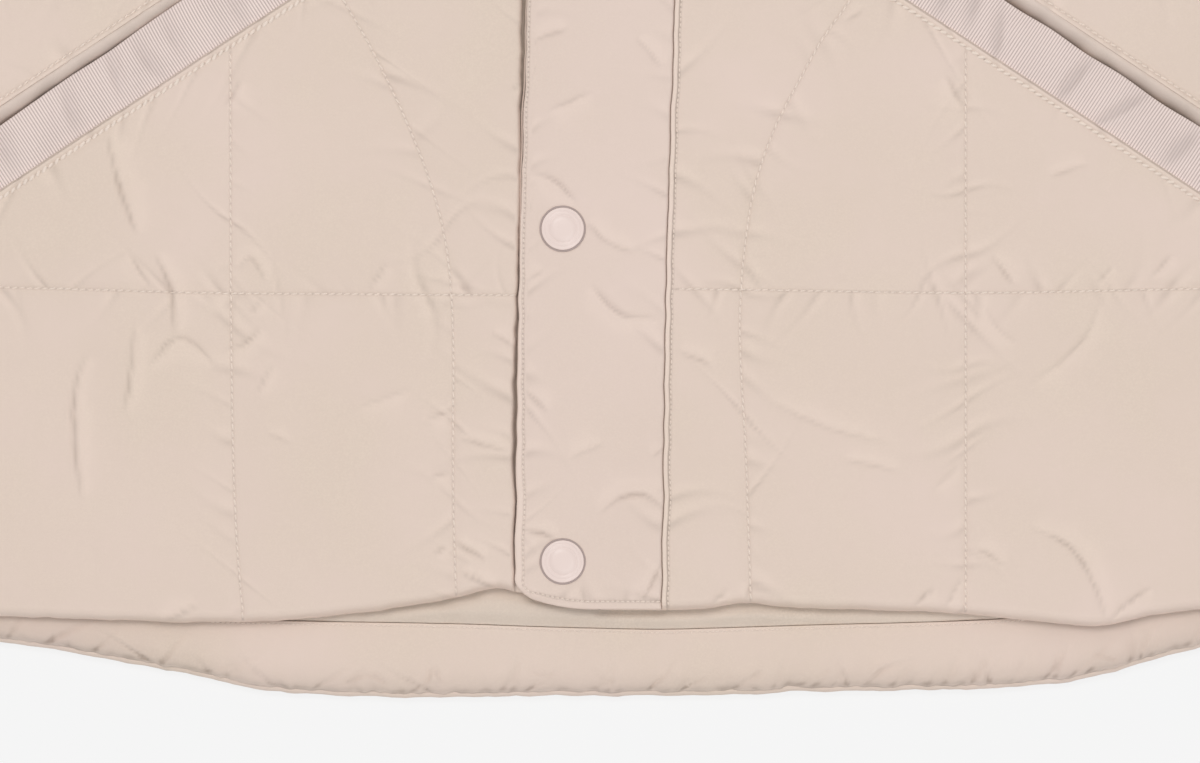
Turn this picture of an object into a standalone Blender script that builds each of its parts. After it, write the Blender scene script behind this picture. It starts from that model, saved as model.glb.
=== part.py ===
"""Padded vest lying flat with its front up, one object for each piece that is cut and sewn on.

+X is the wearer's left, +Y points to the collar, +Z up from the surface it lies on.
Each panel is a grid of points: rows run across the body from the centre to the side, and columns
run from the hem to the shoulder. Rows and columns follow the seams and quilting lines.
In the sizes below u is the distance from the centre line and v the height above the front hem.
Right and left are the wearer's. The flap covers the front's opening and hides its hem's middle.
"""

import math

import bpy
from mathutils import Vector

MM = 0.001
GAP = 0.3  # between pieces, all sizes in millimetres

# Body outline
HEM_HALF_WIDTH = 277.0
CHEST_HALF_WIDTH = 285.0
UNDERARM = 385.0
SHOULDER_TIP = (215.0, 645.0)
NECK_POINT = (88.0, 690.0)
FRONT_NECK = 606.0
BACK_NECK = 672.0
NECK_CURVE = 2.4  # power of the curve that rises from the middle of the neckline
ARMHOLE_DEPTH = 88.0  # how far the armhole cuts in from the underarm
ARMHOLE_RETURN = SHOULDER_TIP[0] - CHEST_HALF_WIDTH + ARMHOLE_DEPTH
FRONT_SCOOP = 10.0  # the front armhole is cut this much deeper than the back one
CENTRE_HALF_GAP = 1.0
HEMS = (  # height of each hem at a distance from the centre line
    {"u": 0.0, "front right": 4.0, "front left": -1.2, "back right": -35.6, "back left": -35.6},
    {"u": 28.0, "front right": 4.0, "front left": -1.2, "back right": -35.8, "back left": -35.6},
    {"u": 41.0, "front right": 7.0, "front left": -0.8, "back right": -36.0, "back left": -35.4},
    {"u": 57.0, "front right": 3.8, "front left": 1.2, "back right": -36.2, "back left": -35.2},
    {"u": 79.0, "front right": 0.0, "front left": -0.2, "back right": -36.2, "back left": -34.8},
    {"u": 131.0, "front right": -5.6, "front left": -1.8, "back right": -33.8, "back left": -33.6},
    {"u": 165.0, "front right": -5.8, "front left": -4.6, "back right": -28.0, "back left": -32.4},
    {"u": 203.0, "front right": -4.8, "front left": -7.0, "back right": -19.8, "back left": -27.0},
    {"u": 240.0, "front right": -3.6, "front left": -1.4, "back right": -14.0, "back left": -16.4},
    {"u": 277.0, "front right": -3.0, "front left": -2.0, "back right": -7.0, "back left": -7.6},
)

# Quilting, pocket and flap lines
QUILT_PITCH = 126.0
QUILT_COLUMN = 146.0
POCKET_START = (106.0, 252.0)  # inner lower corner of the pocket tape
POCKET_SLOPE = 0.66  # fall of the pocket line for each millimetre outwards
TAPE_WIDTH = 21.8
TAPE_END_RISE = 35.0  # the tape's inner end is square to the mouth
MOUTH_WIDTH = 6.2
MOUTH_CLOSED = 2.5  # width of the lips' meeting beyond the open mouth
MOUTH_START, MOUTH_END = 14.0, 12.0  # the mouth opens this far from the tape's start and the side seam
MOUTH_EASE = 12.0
LIP = 0.4  # the wall of a lip leans this far
BAG_STITCH = 57.0  # where the pocket bag's stitching meets the hem
BAG_STITCH_RUN = 80.0  # height up to which it runs straight
BAG_STITCH_CURVE = 2.4
FLAP_HALF_WIDTH = 29.2
FLAP_BOTTOM, FLAP_TOP = -0.8, 684.0
FLAP_CORNER = 10.0
FLAP_DRIFT = (  # the flap lies a little askew
    {"v": 0.0, "aside": -3.9},
    {"v": 141.0, "aside": -1.9},
    {"v": 242.0, "aside": 1.2},
    {"v": 378.0, "aside": 1.5},
    {"v": 606.0, "aside": 0.0},
)
FLAP_ROUNDING = 0.35  # of its thickness
FACING_ROLLS_OUT = 0.9
FACING_SET_IN = 1.5
FACING_SHOWS_ABOVE = 200.0
FACING_WIDTH = 26.5  # hem facing inside the back

# Heights above the surface
BACK_TOP = 6.0
LINING = 1.1
FACING = 1.6
FRONT_UNDER = 8.2
STITCHED = 13.5  # top of the front where it is stitched down
CROWN = 17.0  # top of the front in the middle of a quilted cell
UNDER_FLAP = 13.7
FLAP_FACING = 1.0
FLAP = 2.3
SEAM_LOW, SEAM_HIGH = 7.6, 7.9  # back and front meet here along side and shoulder seams
EDGE = 2.0  # thickness of a panel at its edge
ROLL = 10.0  # width over which an edge rolls over
PUFF = 9.0  # distance over which the padding rises from a stitched line
BESIDE = 6.0  # the grid also follows each quilting line at this distance
NEAR_EDGE = (14.0, 5.0, 1.5)  # and each edge at these
SEAM_EASE = 5.0  # distance over which a panel rises or falls to its side and shoulder seams
MOUTH_DROP = 3.6
MOUTH_FLOOR_CLOTH = 1.3
TAPE = 1.2

# Collar
COLLAR_CENTRE_TOP, COLLAR_SIDE_TOP, COLLAR_BACK_TOP = 683.0, 752.0, 745.0
COLLAR_THICK = 6.6
COLLAR_INSIDE = 1.6  # space between the collar's front and back
COLLAR_FOLD = 86.0
COLLAR_CURVE = 2.1
COLLAR_SEAM = 3.0  # the band starts this far above the neckline, which is steep at the sides
COLLAR_PRESSED, COLLAR_PRESSED_TO = 5.0, 36.0  # thickness under the flap, and how far out that goes
COLLAR_FRONT = (1.0, 14.0, 28.0, 42.0, 54.0, 64.0, 72.0, 78.0)  # sections, by distance from the centre
COLLAR_TURNS = 6
COLLAR_BACK = (66.0, 50.0, 34.0, 17.0, 0.0)

# Snaps
SNAP_U = -14.0
SNAP_RADIUS = 9.2
SNAP_FIRST, SNAP_PITCH, SNAP_COUNT = 18.4, 132.0, 5
SNAP_COLLAR = 658.0

# Puts the origin under the middle of the vest
ORIGIN_V = (COLLAR_SIDE_TOP + min(row["back right"] for row in HEMS)) / 2
BISECTIONS = 40
SMOOTH_ANGLE = 40.0  # degrees

COLOURS = {  # base colour, roughness
    "shell": ((0.745, 0.625, 0.530), 0.62),
    "flap": ((0.745, 0.625, 0.545), 0.62),
    "lining": ((0.60, 0.52, 0.43), 0.55),
    "tape": ((0.70, 0.575, 0.535), 0.75),
    "snap": ((0.80, 0.705, 0.665), 0.35),
}


def material(name):
    made = bpy.data.materials.get(name)
    if made is None:
        colour, roughness = COLOURS[name]
        made = bpy.data.materials.new(name)
        made.use_nodes = True
        shader = made.node_tree.nodes["Principled BSDF"]
        shader.inputs["Base Color"].default_value = (*colour, 1.0)
        shader.inputs["Roughness"].default_value = roughness
        shader.inputs["Metallic"].default_value = 0.0
    return made


def place(u, v, z):
    return Vector((u * MM, (v - ORIGIN_V) * MM, z * MM))


def smooth_mesh(name, points, faces, finish):
    mesh = bpy.data.meshes.new(name)
    mesh.from_pydata(points, [], faces)
    mesh.shade_smooth()
    mesh.set_sharp_from_angle(angle=math.radians(SMOOTH_ANGLE))
    mesh.materials.append(material(finish))
    return mesh


def add_object(name, mesh):
    obj = bpy.data.objects.new(name, mesh)
    bpy.context.scene.collection.objects.link(obj)
    return obj


def add_piece(name, points, faces, finish):
    return add_object(name, smooth_mesh(name, [place(*p) for p in points], faces, finish))


# ---- Outline and seam lines. A column gives u at a height v, a row gives v at a distance u. ----


def along(table, key, value, at):
    """Smooth curve through one column of a table."""
    if at <= table[0][key]:
        return table[0][value]
    for low, high in zip(table, table[1:]):
        if at <= high[key]:
            share = (at - low[key]) / (high[key] - low[key])
            return low[value] + (high[value] - low[value]) * share**2 * (3 - 2 * share)
    return table[-1][value]


def hem(name):
    return lambda u: along(HEMS, "u", name, u)


def flap_edge(side):
    """Edge of the flap at a height, as a distance on the wearer's right (-1) or left (1)."""
    return lambda v: FLAP_HALF_WIDTH + side * along(FLAP_DRIFT, "v", "aside", v)


def side_edge(v, scoop=0.0):
    """Side seam up to the underarm, then the armhole."""
    if v <= UNDERARM:
        return HEM_HALF_WIDTH + (CHEST_HALF_WIDTH - HEM_HALF_WIDTH) * max(v, 0.0) / UNDERARM
    share = min((v - UNDERARM) / (SHOULDER_TIP[1] - UNDERARM), 1.0)
    cut = ARMHOLE_DEPTH * (1 - (1 - share) ** 4) - ARMHOLE_RETURN * share**2
    return CHEST_HALF_WIDTH - cut - scoop * math.sin(math.pi * share)


def bag_stitch(v):
    """The pocket bag's stitching, then the tape's square end, then on to the neck point."""
    start_u, start_v = POCKET_START
    if v <= start_v:
        share = max(v - BAG_STITCH_RUN, 0.0) / (start_v - BAG_STITCH_RUN)
        return BAG_STITCH + (start_u - BAG_STITCH) * share**BAG_STITCH_CURVE
    tape_end = start_u + POCKET_SLOPE * min(v - start_v, TAPE_END_RISE)
    share = max(0.0, v - start_v - TAPE_END_RISE) / (NECK_POINT[1] - start_v - TAPE_END_RISE)
    return tape_end + (NECK_POINT[0] - tape_end) * min(share, 1.0)


def neckline(u, lowest):
    """Curve from the middle of the neckline up to the neck point."""
    return lowest + (NECK_POINT[1] - lowest) * min(u / NECK_POINT[0], 1.0) ** NECK_CURVE


def shoulder(u):
    slope = (NECK_POINT[1] - SHOULDER_TIP[1]) / (SHOULDER_TIP[0] - NECK_POINT[0])
    return NECK_POINT[1] - slope * (u - NECK_POINT[0])


def front_top(u):
    return neckline(u, FRONT_NECK) if u < NECK_POINT[0] else shoulder(u)


def back_top(u):
    return neckline(u, BACK_NECK) if u < NECK_POINT[0] else shoulder(u)


def tape_lower(u):
    return POCKET_START[1] - POCKET_SLOPE * max(u - POCKET_START[0], 0.0)


POCKET_STRETCH = math.hypot(1.0, POCKET_SLOPE)  # height for each millimetre square to the mouth


def lower_lip(u):
    return tape_lower(u) + TAPE_WIDTH * POCKET_STRETCH


def mouth_open(u):
    """1 along the open mouth, easing to 0 at its two closed ends."""
    start = POCKET_START[0] + MOUTH_START
    end = HEM_HALF_WIDTH - MOUTH_END
    if not start < u < end:
        return 0.0
    return min(1.0, (u - start) / MOUTH_EASE, (end - u) / MOUTH_EASE)


def upper_lip(u):
    widening = MOUTH_WIDTH * POCKET_STRETCH - MOUTH_CLOSED
    return lower_lip(u) + MOUTH_CLOSED + widening * mouth_open(u)


def quilt(number):
    return lambda u: QUILT_PITCH * number


def quilt_beside_mouth(u):
    """The second quilting line, which starts outside the pocket mouth."""
    return max(QUILT_PITCH * 2, upper_lip(u) + 2 * BESIDE)


def moved(line, step):
    return lambda x: line(x) + step


def beside(line):
    return [moved(line, -BESIDE), line, moved(line, BESIDE)]


def up_to(edge):
    return [moved(edge, -distance) for distance in NEAR_EDGE] + [edge]


def up_from(edge):
    return [edge] + [moved(edge, distance) for distance in reversed(NEAR_EDGE)]


def crossing(row, column):
    """Where a row meets a column, by bisection."""
    low, high = 0.0, 2 * CHEST_HALF_WIDTH
    for _ in range(BISECTIONS):
        middle = (low + high) / 2
        if middle < column(row(middle)):
            low = middle
        else:
            high = middle
    return (low + high) / 2


def filled(lines, spans, at):
    """The lines' values at one place, with each span between two lines divided evenly."""
    values = [line(at) for line in lines]
    found = [values[0]]
    for low, high, parts in zip(values, values[1:], spans):
        found += [low + (high - low) * k / parts for k in range(1, parts + 1)]
    return found


def row_between(lines, spans, index):
    """The row line of that index, counted with the lines that divide each span."""
    return lambda u: filled(lines, spans, u)[index]


def grid_of(rows, row_spans, columns, column_spans):
    """Points (u, v) of a half panel, one list for each row from the centre outwards."""
    grid = []
    for index in range(sum(row_spans) + 1):
        row = row_between(rows, row_spans, index)
        cuts = [crossing(row, column) for column in columns]
        across = [cuts[0]]
        for low, high, parts in zip(cuts, cuts[1:], column_spans):
            across += [low + (high - low) * k / parts for k in range(1, parts + 1)]
        grid.append([(u, row(u)) for u in across])
    return grid


def line_index(spans, line):
    return sum(spans[:line])


# ---- Solids from grids ----


def closed_panel(name, lower, upper, finish, mirrored=False):
    """One closed wall between two grids of the same size. mirrored puts it on the wearer's right."""
    rows, columns = len(upper), len(upper[0])
    sign = -1 if mirrored else 1
    points = [(sign * u, v, z) for sheet in (lower, upper) for line in sheet for u, v, z in line]
    top = rows * columns

    def corner(r, c, layer):
        return layer * top + r * columns + c

    faces = []
    for r in range(rows - 1):
        for c in range(columns - 1):
            square = [corner(r, c, 1), corner(r, c + 1, 1), corner(r + 1, c + 1, 1), corner(r + 1, c, 1)]
            halves = [square[:3], [square[0], *square[2:]]]  # cut alike, so that layers stay apart
            faces += halves
            faces += [[k - top for k in reversed(half)] for half in halves]
    around = [(0, c) for c in range(columns)] + [(r, columns - 1) for r in range(1, rows)]
    around += [(rows - 1, c) for c in range(columns - 2, -1, -1)] + [(r, 0) for r in range(rows - 2, 0, -1)]
    for first, second in zip(around, around[1:] + around[:1]):
        faces.append([corner(*first, 0), corner(*second, 0), corner(*second, 1), corner(*first, 1)])
    if mirrored:
        faces = [face[::-1] for face in faces]
    add_piece(name, points, faces, finish)


def raised(sheet, by):
    return [[(u, v, z + by) for u, v, z in line] for line in sheet]


def rounded(distance, width):
    """A quarter-round rise from 0 at an edge to 1 at that width."""
    inside = 1 - min(max(distance, 0.0) / width, 1.0)
    return math.sqrt(1 - inside**2)


def near_seam(distance):
    """1 on a side or shoulder seam, falling to 0 beside it."""
    return 1 - min(max(distance, 0.0) / SEAM_EASE, 1.0)


# ---- Front panels ----

# Parts that each span between two lines is divided into, and the numbers of some lines
FRONT_COLUMN_SPANS = (1, 3, 1, 1, 2, 1, 1, 4, 1, 1, 1)
FRONT_ROW_SPANS = (1, 1, 1, 2, 1, 1, 3, 1, 2, 1, 1, 1, 1, 1, 1, 1, 2, 1, 1, 3, 1, 1, 3, 1, 1, 1)
TAPE_LOWER_LINE, LOWER_LIP_LINE, FLOOR_LINE = 8, 9, 11
SUNK_LINES = (10, 11, 12, 13)
BAG_LINE = 3


def front_lines(bottom, centre_seam):
    def edge(v):
        return side_edge(v, FRONT_SCOOP)

    rows = [*up_from(bottom), *beside(quilt(1)), moved(tape_lower, -BESIDE), tape_lower]
    rows += [lower_lip, moved(lower_lip, LIP), moved(lower_lip, 2 * LIP)]
    rows += [moved(upper_lip, -2 * LIP), moved(upper_lip, -LIP), upper_lip, moved(upper_lip, BESIDE)]
    rows += [quilt_beside_mouth, *beside(quilt(3)), *beside(quilt(4)), *up_to(front_top)]
    columns = [lambda v: CENTRE_HALF_GAP, centre_seam, *beside(bag_stitch)]
    columns += [*beside(lambda v: QUILT_COLUMN), *up_to(edge)]
    return rows, columns


def front_height(u, v, bottom, centre_seam, free_edge):
    """Top of the padded front: puffed between stitched lines, rolled over at hem, side and shoulder."""
    past_flap = u - centre_seam(v)
    if past_flap < GAP / 2:
        height = UNDER_FLAP
    else:
        lines = [quilt(1), tape_lower, upper_lip, quilt(3), quilt(4), front_top]
        if u > QUILT_COLUMN:
            lines.append(quilt(2))
        stitched = [abs(v - line(u)) for line in lines] + [abs(u - QUILT_COLUMN)]
        if v < POCKET_START[1]:
            stitched.append(abs(u - bag_stitch(v)))
        if free_edge:
            stitched.append(past_flap)
        height = STITCHED + (CROWN - STITCHED) * (1 - math.exp(-min(stitched) / PUFF))
    roll = rounded(min(v - bottom(u), side_edge(v, FRONT_SCOOP) - u, shoulder(u) - v), ROLL)
    edge_top = SEAM_HIGH + EDGE
    return edge_top + (height - edge_top) * roll


def front_pieces(side):
    """The panel and, made from its own points moved out, the tape and the cloth in the pocket mouth."""
    right = side == "right"
    bottom = hem(f"front {side}")
    centre_seam = flap_edge(-1) if right else moved(flap_edge(1), GAP)
    rows, columns = front_lines(bottom, centre_seam)
    spans = list(FRONT_COLUMN_SPANS)
    if not right:  # a step where the panel's folded edge stands beside the flap
        columns.insert(2, moved(centre_seam, GAP))
        spans.insert(1, 1)
    grid = grid_of(rows, FRONT_ROW_SPANS, columns, spans)
    sunk_rows = [line_index(FRONT_ROW_SPANS, line) for line in SUNK_LINES]
    upper, lower = [], []
    for index, line in enumerate(grid):
        top, below = [], []
        for u, v in line:
            sunk = MOUTH_DROP if index in sunk_rows and mouth_open(u) > 0 else 0.0
            top.append((u, v, front_height(u, v, bottom, centre_seam, right) - sunk))
            inside = min(side_edge(v, FRONT_SCOOP) - u, shoulder(u) - v)
            below.append((u, v, FRONT_UNDER - (FRONT_UNDER - SEAM_HIGH) * near_seam(inside)))
        upper.append(top)
        lower.append(below)
    closed_panel(f"front_panel_{side}", lower, upper, "shell", right)

    bag_column = line_index(spans, BAG_LINE + len(spans) - len(FRONT_COLUMN_SPANS))
    last_column = len(grid[0]) - 1
    first = line_index(FRONT_ROW_SPANS, TAPE_LOWER_LINE)
    lip = line_index(FRONT_ROW_SPANS, LOWER_LIP_LINE)
    strip = [line[bag_column:last_column] for line in upper[first : lip + 1]]
    closed_panel(f"pocket_tape_{side}", raised(strip, GAP), raised(strip, GAP + TAPE), "tape", right)
    floor = line_index(FRONT_ROW_SPANS, FLOOR_LINE)
    inside_mouth = [k for k, (u, _) in enumerate(grid[floor]) if mouth_open(u) > 0.2]
    strip = [line[inside_mouth[0] : inside_mouth[-1] + 1] for line in upper[floor : floor + 2]]
    cloth = (raised(strip, GAP), raised(strip, GAP + MOUTH_FLOOR_CLOTH))
    closed_panel(f"pocket_facing_{side}", *cloth, "shell", right)


# ---- Back panel, lining and hem facing ----

BACK_COLUMN_SPANS = (4, 2, 3, 1, 1, 1)
BACK_ROW_SPANS = (1, 1, 1, 1, 3, 2, 2, 4, 4, 1, 1, 1)
FACING_TOP_LINE = 4


def whole(right, left):
    """The two halves of a grid joined at the centre line."""
    return [[(-u, v, z) for u, v, z in reversed(r[1:])] + l for r, l in zip(right, left)]


def back_half(side):
    bottom = hem(f"back {side}")
    rows = [*up_from(bottom), moved(bottom, FACING_WIDTH)]
    rows += [quilt(1), quilt(2), quilt(3), quilt(4), *up_to(back_top)]
    columns = [lambda v: 0.0, lambda v: NECK_POINT[0], lambda v: QUILT_COLUMN, *up_to(side_edge)]
    upper, lower = [], []
    for line in grid_of(rows, BACK_ROW_SPANS, columns, BACK_COLUMN_SPANS):
        top, under = [], []
        for u, v in line:
            seam = min(side_edge(v) - u, shoulder(u) - v)
            top_z = BACK_TOP + (SEAM_LOW - BACK_TOP) * near_seam(seam)
            top.append((u, v, top_z))
            under.append((u, v, (top_z - EDGE) * (1 - rounded(min(seam, v - bottom(u)), ROLL))))
        upper.append(top)
        lower.append(under)
    return lower, upper


def back_pieces():
    """The panel, and on it the hem facing and the lining, which stop short of the side seams."""
    lower, upper = (whole(*halves) for halves in zip(back_half("right"), back_half("left")))
    closed_panel("back_panel", lower, upper, "shell")
    hem_rows = line_index(BACK_ROW_SPANS, FACING_TOP_LINE)
    facing = [line[2:-2] for line in upper[1 : hem_rows + 1]]
    closed_panel("back_hem_facing", raised(facing, GAP), raised(facing, GAP + FACING), "shell")
    lining = [line[2:-2] for line in upper[hem_rows:-2]]
    lining[0] = [(u, v + GAP, z) for u, v, z in lining[0]]
    closed_panel("back_lining", raised(lining, GAP), raised(lining, GAP + LINING), "lining")


# ---- Flap ----


FLAP_PARTS = 12
CORNER_PARTS = 6


def flap_outline(bottom, top, rolled_out):
    """From the lower right up, then down the free edge, whose two corners are round."""
    heights = [FLAP_BOTTOM + (FLAP_TOP - FLAP_BOTTOM) * k / FLAP_PARTS for k in range(1, FLAP_PARTS)]
    right, left = flap_edge(1), flap_edge(-1)
    points = [(right(v), v) for v in (bottom, *heights, top)]
    turns = [math.radians(90 * k / CORNER_PARTS) for k in range(CORNER_PARTS + 1)]
    for turn in turns:
        out = FLAP_CORNER * (1 - math.sin(turn)) - left(top) - rolled_out(top)
        points.append((out, top - FLAP_CORNER * (1 - math.cos(turn))))
    points += [(-left(v) - rolled_out(v), v) for v in reversed(heights)]
    for turn in turns:
        out = FLAP_CORNER * (1 - math.cos(turn)) - left(bottom) - rolled_out(bottom)
        points.append((out, bottom + FLAP_CORNER * (1 - math.sin(turn))))
    return points


def plate(name, outline, low, high):
    """A flat piece of even thickness with its edges rounded over."""
    count = len(outline)
    points = [(u, v, low) for u, v in outline] + [(u, v, high) for u, v in outline]
    faces = [list(range(count))[::-1], list(range(count, 2 * count))]
    for k in range(count):
        after = (k + 1) % count
        faces.append([k, after, count + after, count + k])
    rounding = add_piece(name, points, faces, "flap").modifiers.new("rounded edge", "BEVEL")
    rounding.width = (high - low) * FLAP_ROUNDING * MM
    rounding.segments = 2
    rounding.limit_method = "ANGLE"
    rounding.angle_limit = math.radians(SMOOTH_ANGLE)


def flap_pieces():
    """The flap and its facing, which shows along the upper part of the free edge."""
    low = UNDER_FLAP + GAP

    def rolled_out(v):
        return FACING_ROLLS_OUT if v > FACING_SHOWS_ABOVE else -FACING_ROLLS_OUT

    outline = flap_outline(FLAP_BOTTOM + FACING_SET_IN, FLAP_TOP - FACING_SET_IN, rolled_out)
    plate("flap_facing", outline, low, low + FLAP_FACING)
    low += FLAP_FACING + GAP
    plate("front_flap", flap_outline(FLAP_BOTTOM, FLAP_TOP, lambda v: 0.0), low, low + FLAP)
    return low + FLAP + GAP


# ---- Collar: one band from the front, round the back, to the front again, pressed flat ----

COLLAR_SECTION = (  # share of the height, thickness as a share of the full one
    {"up": 0.0, "thick": 0.55},
    {"up": 0.07, "thick": 0.85},
    {"up": 0.30, "thick": 1.0},
    {"up": 0.80, "thick": 1.0},
    {"up": 0.93, "thick": 0.8},
    {"up": 0.985, "thick": 0.5},
    {"up": 1.0, "thick": 0.2},
)


def collar_stations():
    """Middle of the wall (u, z), the direction its outer face looks, neck seam v, top edge v, thickness."""
    under = COLLAR_THICK / 2
    over = under + COLLAR_THICK + COLLAR_INSIDE
    turn = (over - under) / 2
    stations = []
    for u in COLLAR_FRONT:
        rise = (u / COLLAR_FOLD) ** COLLAR_CURVE
        top = COLLAR_CENTRE_TOP + (COLLAR_SIDE_TOP - COLLAR_CENTRE_TOP) * rise
        flat = u < COLLAR_PRESSED_TO
        thick = COLLAR_PRESSED if flat else COLLAR_THICK
        middle = UNDER_FLAP - thick / 2 if flat else over
        stations.append((u, middle, (0.0, 1.0), neckline(u, FRONT_NECK) + COLLAR_SEAM, top, thick))
    for step in range(COLLAR_TURNS + 1):
        angle = math.pi * (0.5 - step / COLLAR_TURNS)
        look = (math.cos(angle), math.sin(angle))
        at = (COLLAR_FOLD - turn + turn * look[0], under + turn + turn * look[1])
        outermost = at[0] + look[0] * COLLAR_THICK / 2
        seam = neckline(outermost, BACK_NECK if 2 * step > COLLAR_TURNS else FRONT_NECK) + COLLAR_SEAM
        stations.append((*at, look, seam, COLLAR_SIDE_TOP, COLLAR_THICK))
    for u in COLLAR_BACK:
        rise = (u / COLLAR_FOLD) ** COLLAR_CURVE
        top = COLLAR_BACK_TOP + (COLLAR_SIDE_TOP - COLLAR_BACK_TOP) * rise
        seam = neckline(u, BACK_NECK) + COLLAR_SEAM
        stations.append((u, under, (0.0, -1.0), seam, top, COLLAR_THICK))
    other = [(-u, z, (-look[0], look[1]), *rest) for u, z, look, *rest in reversed(stations[:-1])]
    return [*stations, *other]


def collar():
    rings = []
    for u, z, look, seam, top, thick in collar_stations():
        ring = []
        for side in (1, -1):
            section = COLLAR_SECTION if side == 1 else reversed(COLLAR_SECTION)
            for part in section:
                out = side * thick * part["thick"] / 2
                ring.append((u + look[0] * out, seam + (top - seam) * part["up"], z + look[1] * out))
        rings.append(ring)
    size = len(rings[0])
    faces = [list(range(size)), [len(rings) * size - 1 - k for k in range(size)]]
    for r in range(len(rings) - 1):
        for k in range(size):
            after = (k + 1) % size
            faces.append([r * size + k, (r + 1) * size + k, (r + 1) * size + after, r * size + after])
    add_piece("collar", [p for ring in rings for p in ring], faces, "shell")


# ---- Snaps ----

SNAP_PROFILE = (  # share of the radius, height above the cap's foot
    {"out": 1.0, "up": 0.0},
    {"out": 1.0, "up": 1.1},
    {"out": 0.95, "up": 1.8},
    {"out": 0.88, "up": 2.0},
    {"out": 0.82, "up": 1.7},
    {"out": 0.45, "up": 1.9},
)
SNAP_SIDES = 20


def snap_mesh():
    """A turned cap with its foot at the origin."""
    points = []
    for ring in SNAP_PROFILE:
        radius = SNAP_RADIUS * ring["out"] * MM
        for k in range(SNAP_SIDES):
            angle = 2 * math.pi * k / SNAP_SIDES
            points.append((radius * math.cos(angle), radius * math.sin(angle), ring["up"] * MM))
    faces = []
    for low in range(0, (len(SNAP_PROFILE) - 1) * SNAP_SIDES, SNAP_SIDES):
        high = low + SNAP_SIDES
        for k in range(SNAP_SIDES):
            after = (k + 1) % SNAP_SIDES
            faces.append([low + k, low + after, high + after, high + k])
    foot = list(range(SNAP_SIDES))
    faces += [foot[::-1], [len(points) - SNAP_SIDES + k for k in foot]]
    return smooth_mesh("snap cap", points, faces, "snap")


def snap_caps(foot):
    cap = snap_mesh()
    heights = [SNAP_FIRST + SNAP_PITCH * number for number in range(SNAP_COUNT)] + [SNAP_COLLAR]
    for number, v in enumerate(heights, 1):
        add_object(f"snap_cap_{number}", cap).location = place(SNAP_U, v, foot)


def main():
    for obj in list(bpy.data.objects):
        bpy.data.objects.remove(obj)
    back_pieces()
    front_pieces("right")
    front_pieces("left")
    collar()
    snap_caps(flap_pieces())


main()
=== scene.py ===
import math

import bpy
import numpy as np
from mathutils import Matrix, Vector
from mathutils.bvhtree import BVHTree
from mathutils.kdtree import KDTree


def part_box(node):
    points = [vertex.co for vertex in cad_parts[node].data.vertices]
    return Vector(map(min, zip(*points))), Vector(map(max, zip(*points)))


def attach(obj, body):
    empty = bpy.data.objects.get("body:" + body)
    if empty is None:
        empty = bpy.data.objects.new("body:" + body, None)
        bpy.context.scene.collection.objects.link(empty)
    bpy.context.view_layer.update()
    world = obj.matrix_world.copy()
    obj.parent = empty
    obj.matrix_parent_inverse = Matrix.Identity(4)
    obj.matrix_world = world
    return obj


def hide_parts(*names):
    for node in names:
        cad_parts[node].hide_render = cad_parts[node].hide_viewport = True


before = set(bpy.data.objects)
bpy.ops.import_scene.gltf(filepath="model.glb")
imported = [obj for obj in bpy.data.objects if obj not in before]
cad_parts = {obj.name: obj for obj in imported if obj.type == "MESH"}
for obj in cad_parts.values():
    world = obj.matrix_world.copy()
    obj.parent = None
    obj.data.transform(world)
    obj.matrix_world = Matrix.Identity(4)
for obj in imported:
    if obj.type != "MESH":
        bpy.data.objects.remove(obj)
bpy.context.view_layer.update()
print("frame loaded:", len(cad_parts), "nodes")

# Lengths are in millimetres until a mesh is made. u is the distance from the vest's centre line, x the
# same with its side's sign, v the height above the front hem, and z the height above the floor. side is
# -1 for the wearer's right half, on the left seen from above, and 1 for the wearer's left half.

sideName = {-1: "Right", 1: "Left"}
collarTop = 752.0
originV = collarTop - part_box("collar")[1].y * 1000  # where the frame's origin lies, in v

body = {
    "hemHalf": 277.0, "chestHalf": 285.0, "underarm": 385.0,
    "tipU": 215.0, "tipV": 645.0, "neckU": 88.0, "neckV": 690.0,
    "frontNeck": 606.0, "backNeck": 672.0, "armholeDepth": 88.0, "frontScoop": 10.0,
}
hems = {  # height of each hem at a distance from the centre line
    "u":          (0, 28, 41, 57, 79, 105, 131, 165, 203, 220, 240, 258, 277),
    "frontRight": (4.0, 5.2, 7.2, 3.6, 0.0, -3.4, -5.6, -5.9, -4.8, -4.2, -3.6, -3.2, -3.0),
    "frontLeft":  (-1.2, -1.2, -0.8, 1.4, -0.2, -1.1, -1.8, -4.6, -7.0, -3.4, -0.9, -1.4, -2.0),
    "backRight":  (-35.6, -35.8, -36.0, -36.2, -36.2, -35.4, -33.8, -26.6, -19.8, -16.6, -14.0, -11.0, -7.0),
    "backLeft":   (-35.6, -35.6, -35.4, -35.2, -34.0, -33.7, -33.4, -32.2, -27.0, -21.6, -16.4, -12.0, -7.6),
}
quilting = {
    "pitch": 126.0, "column": 146.0,
    "levelU": (25, 60, 95, 146, 240, 285),  # how far the lowest level line of each front lies off its height
    "levelRight": (-1.9, -1.8, -1.5, -1.2, 1.2, 1.5), "levelLeft": (0.6, 0.2, -0.4, -1.0, 0.6, 0.9),
    "columnDrift": 4.8, "columnRun": 42.0,  # the wearer's right column bends in towards the hem
}
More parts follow.
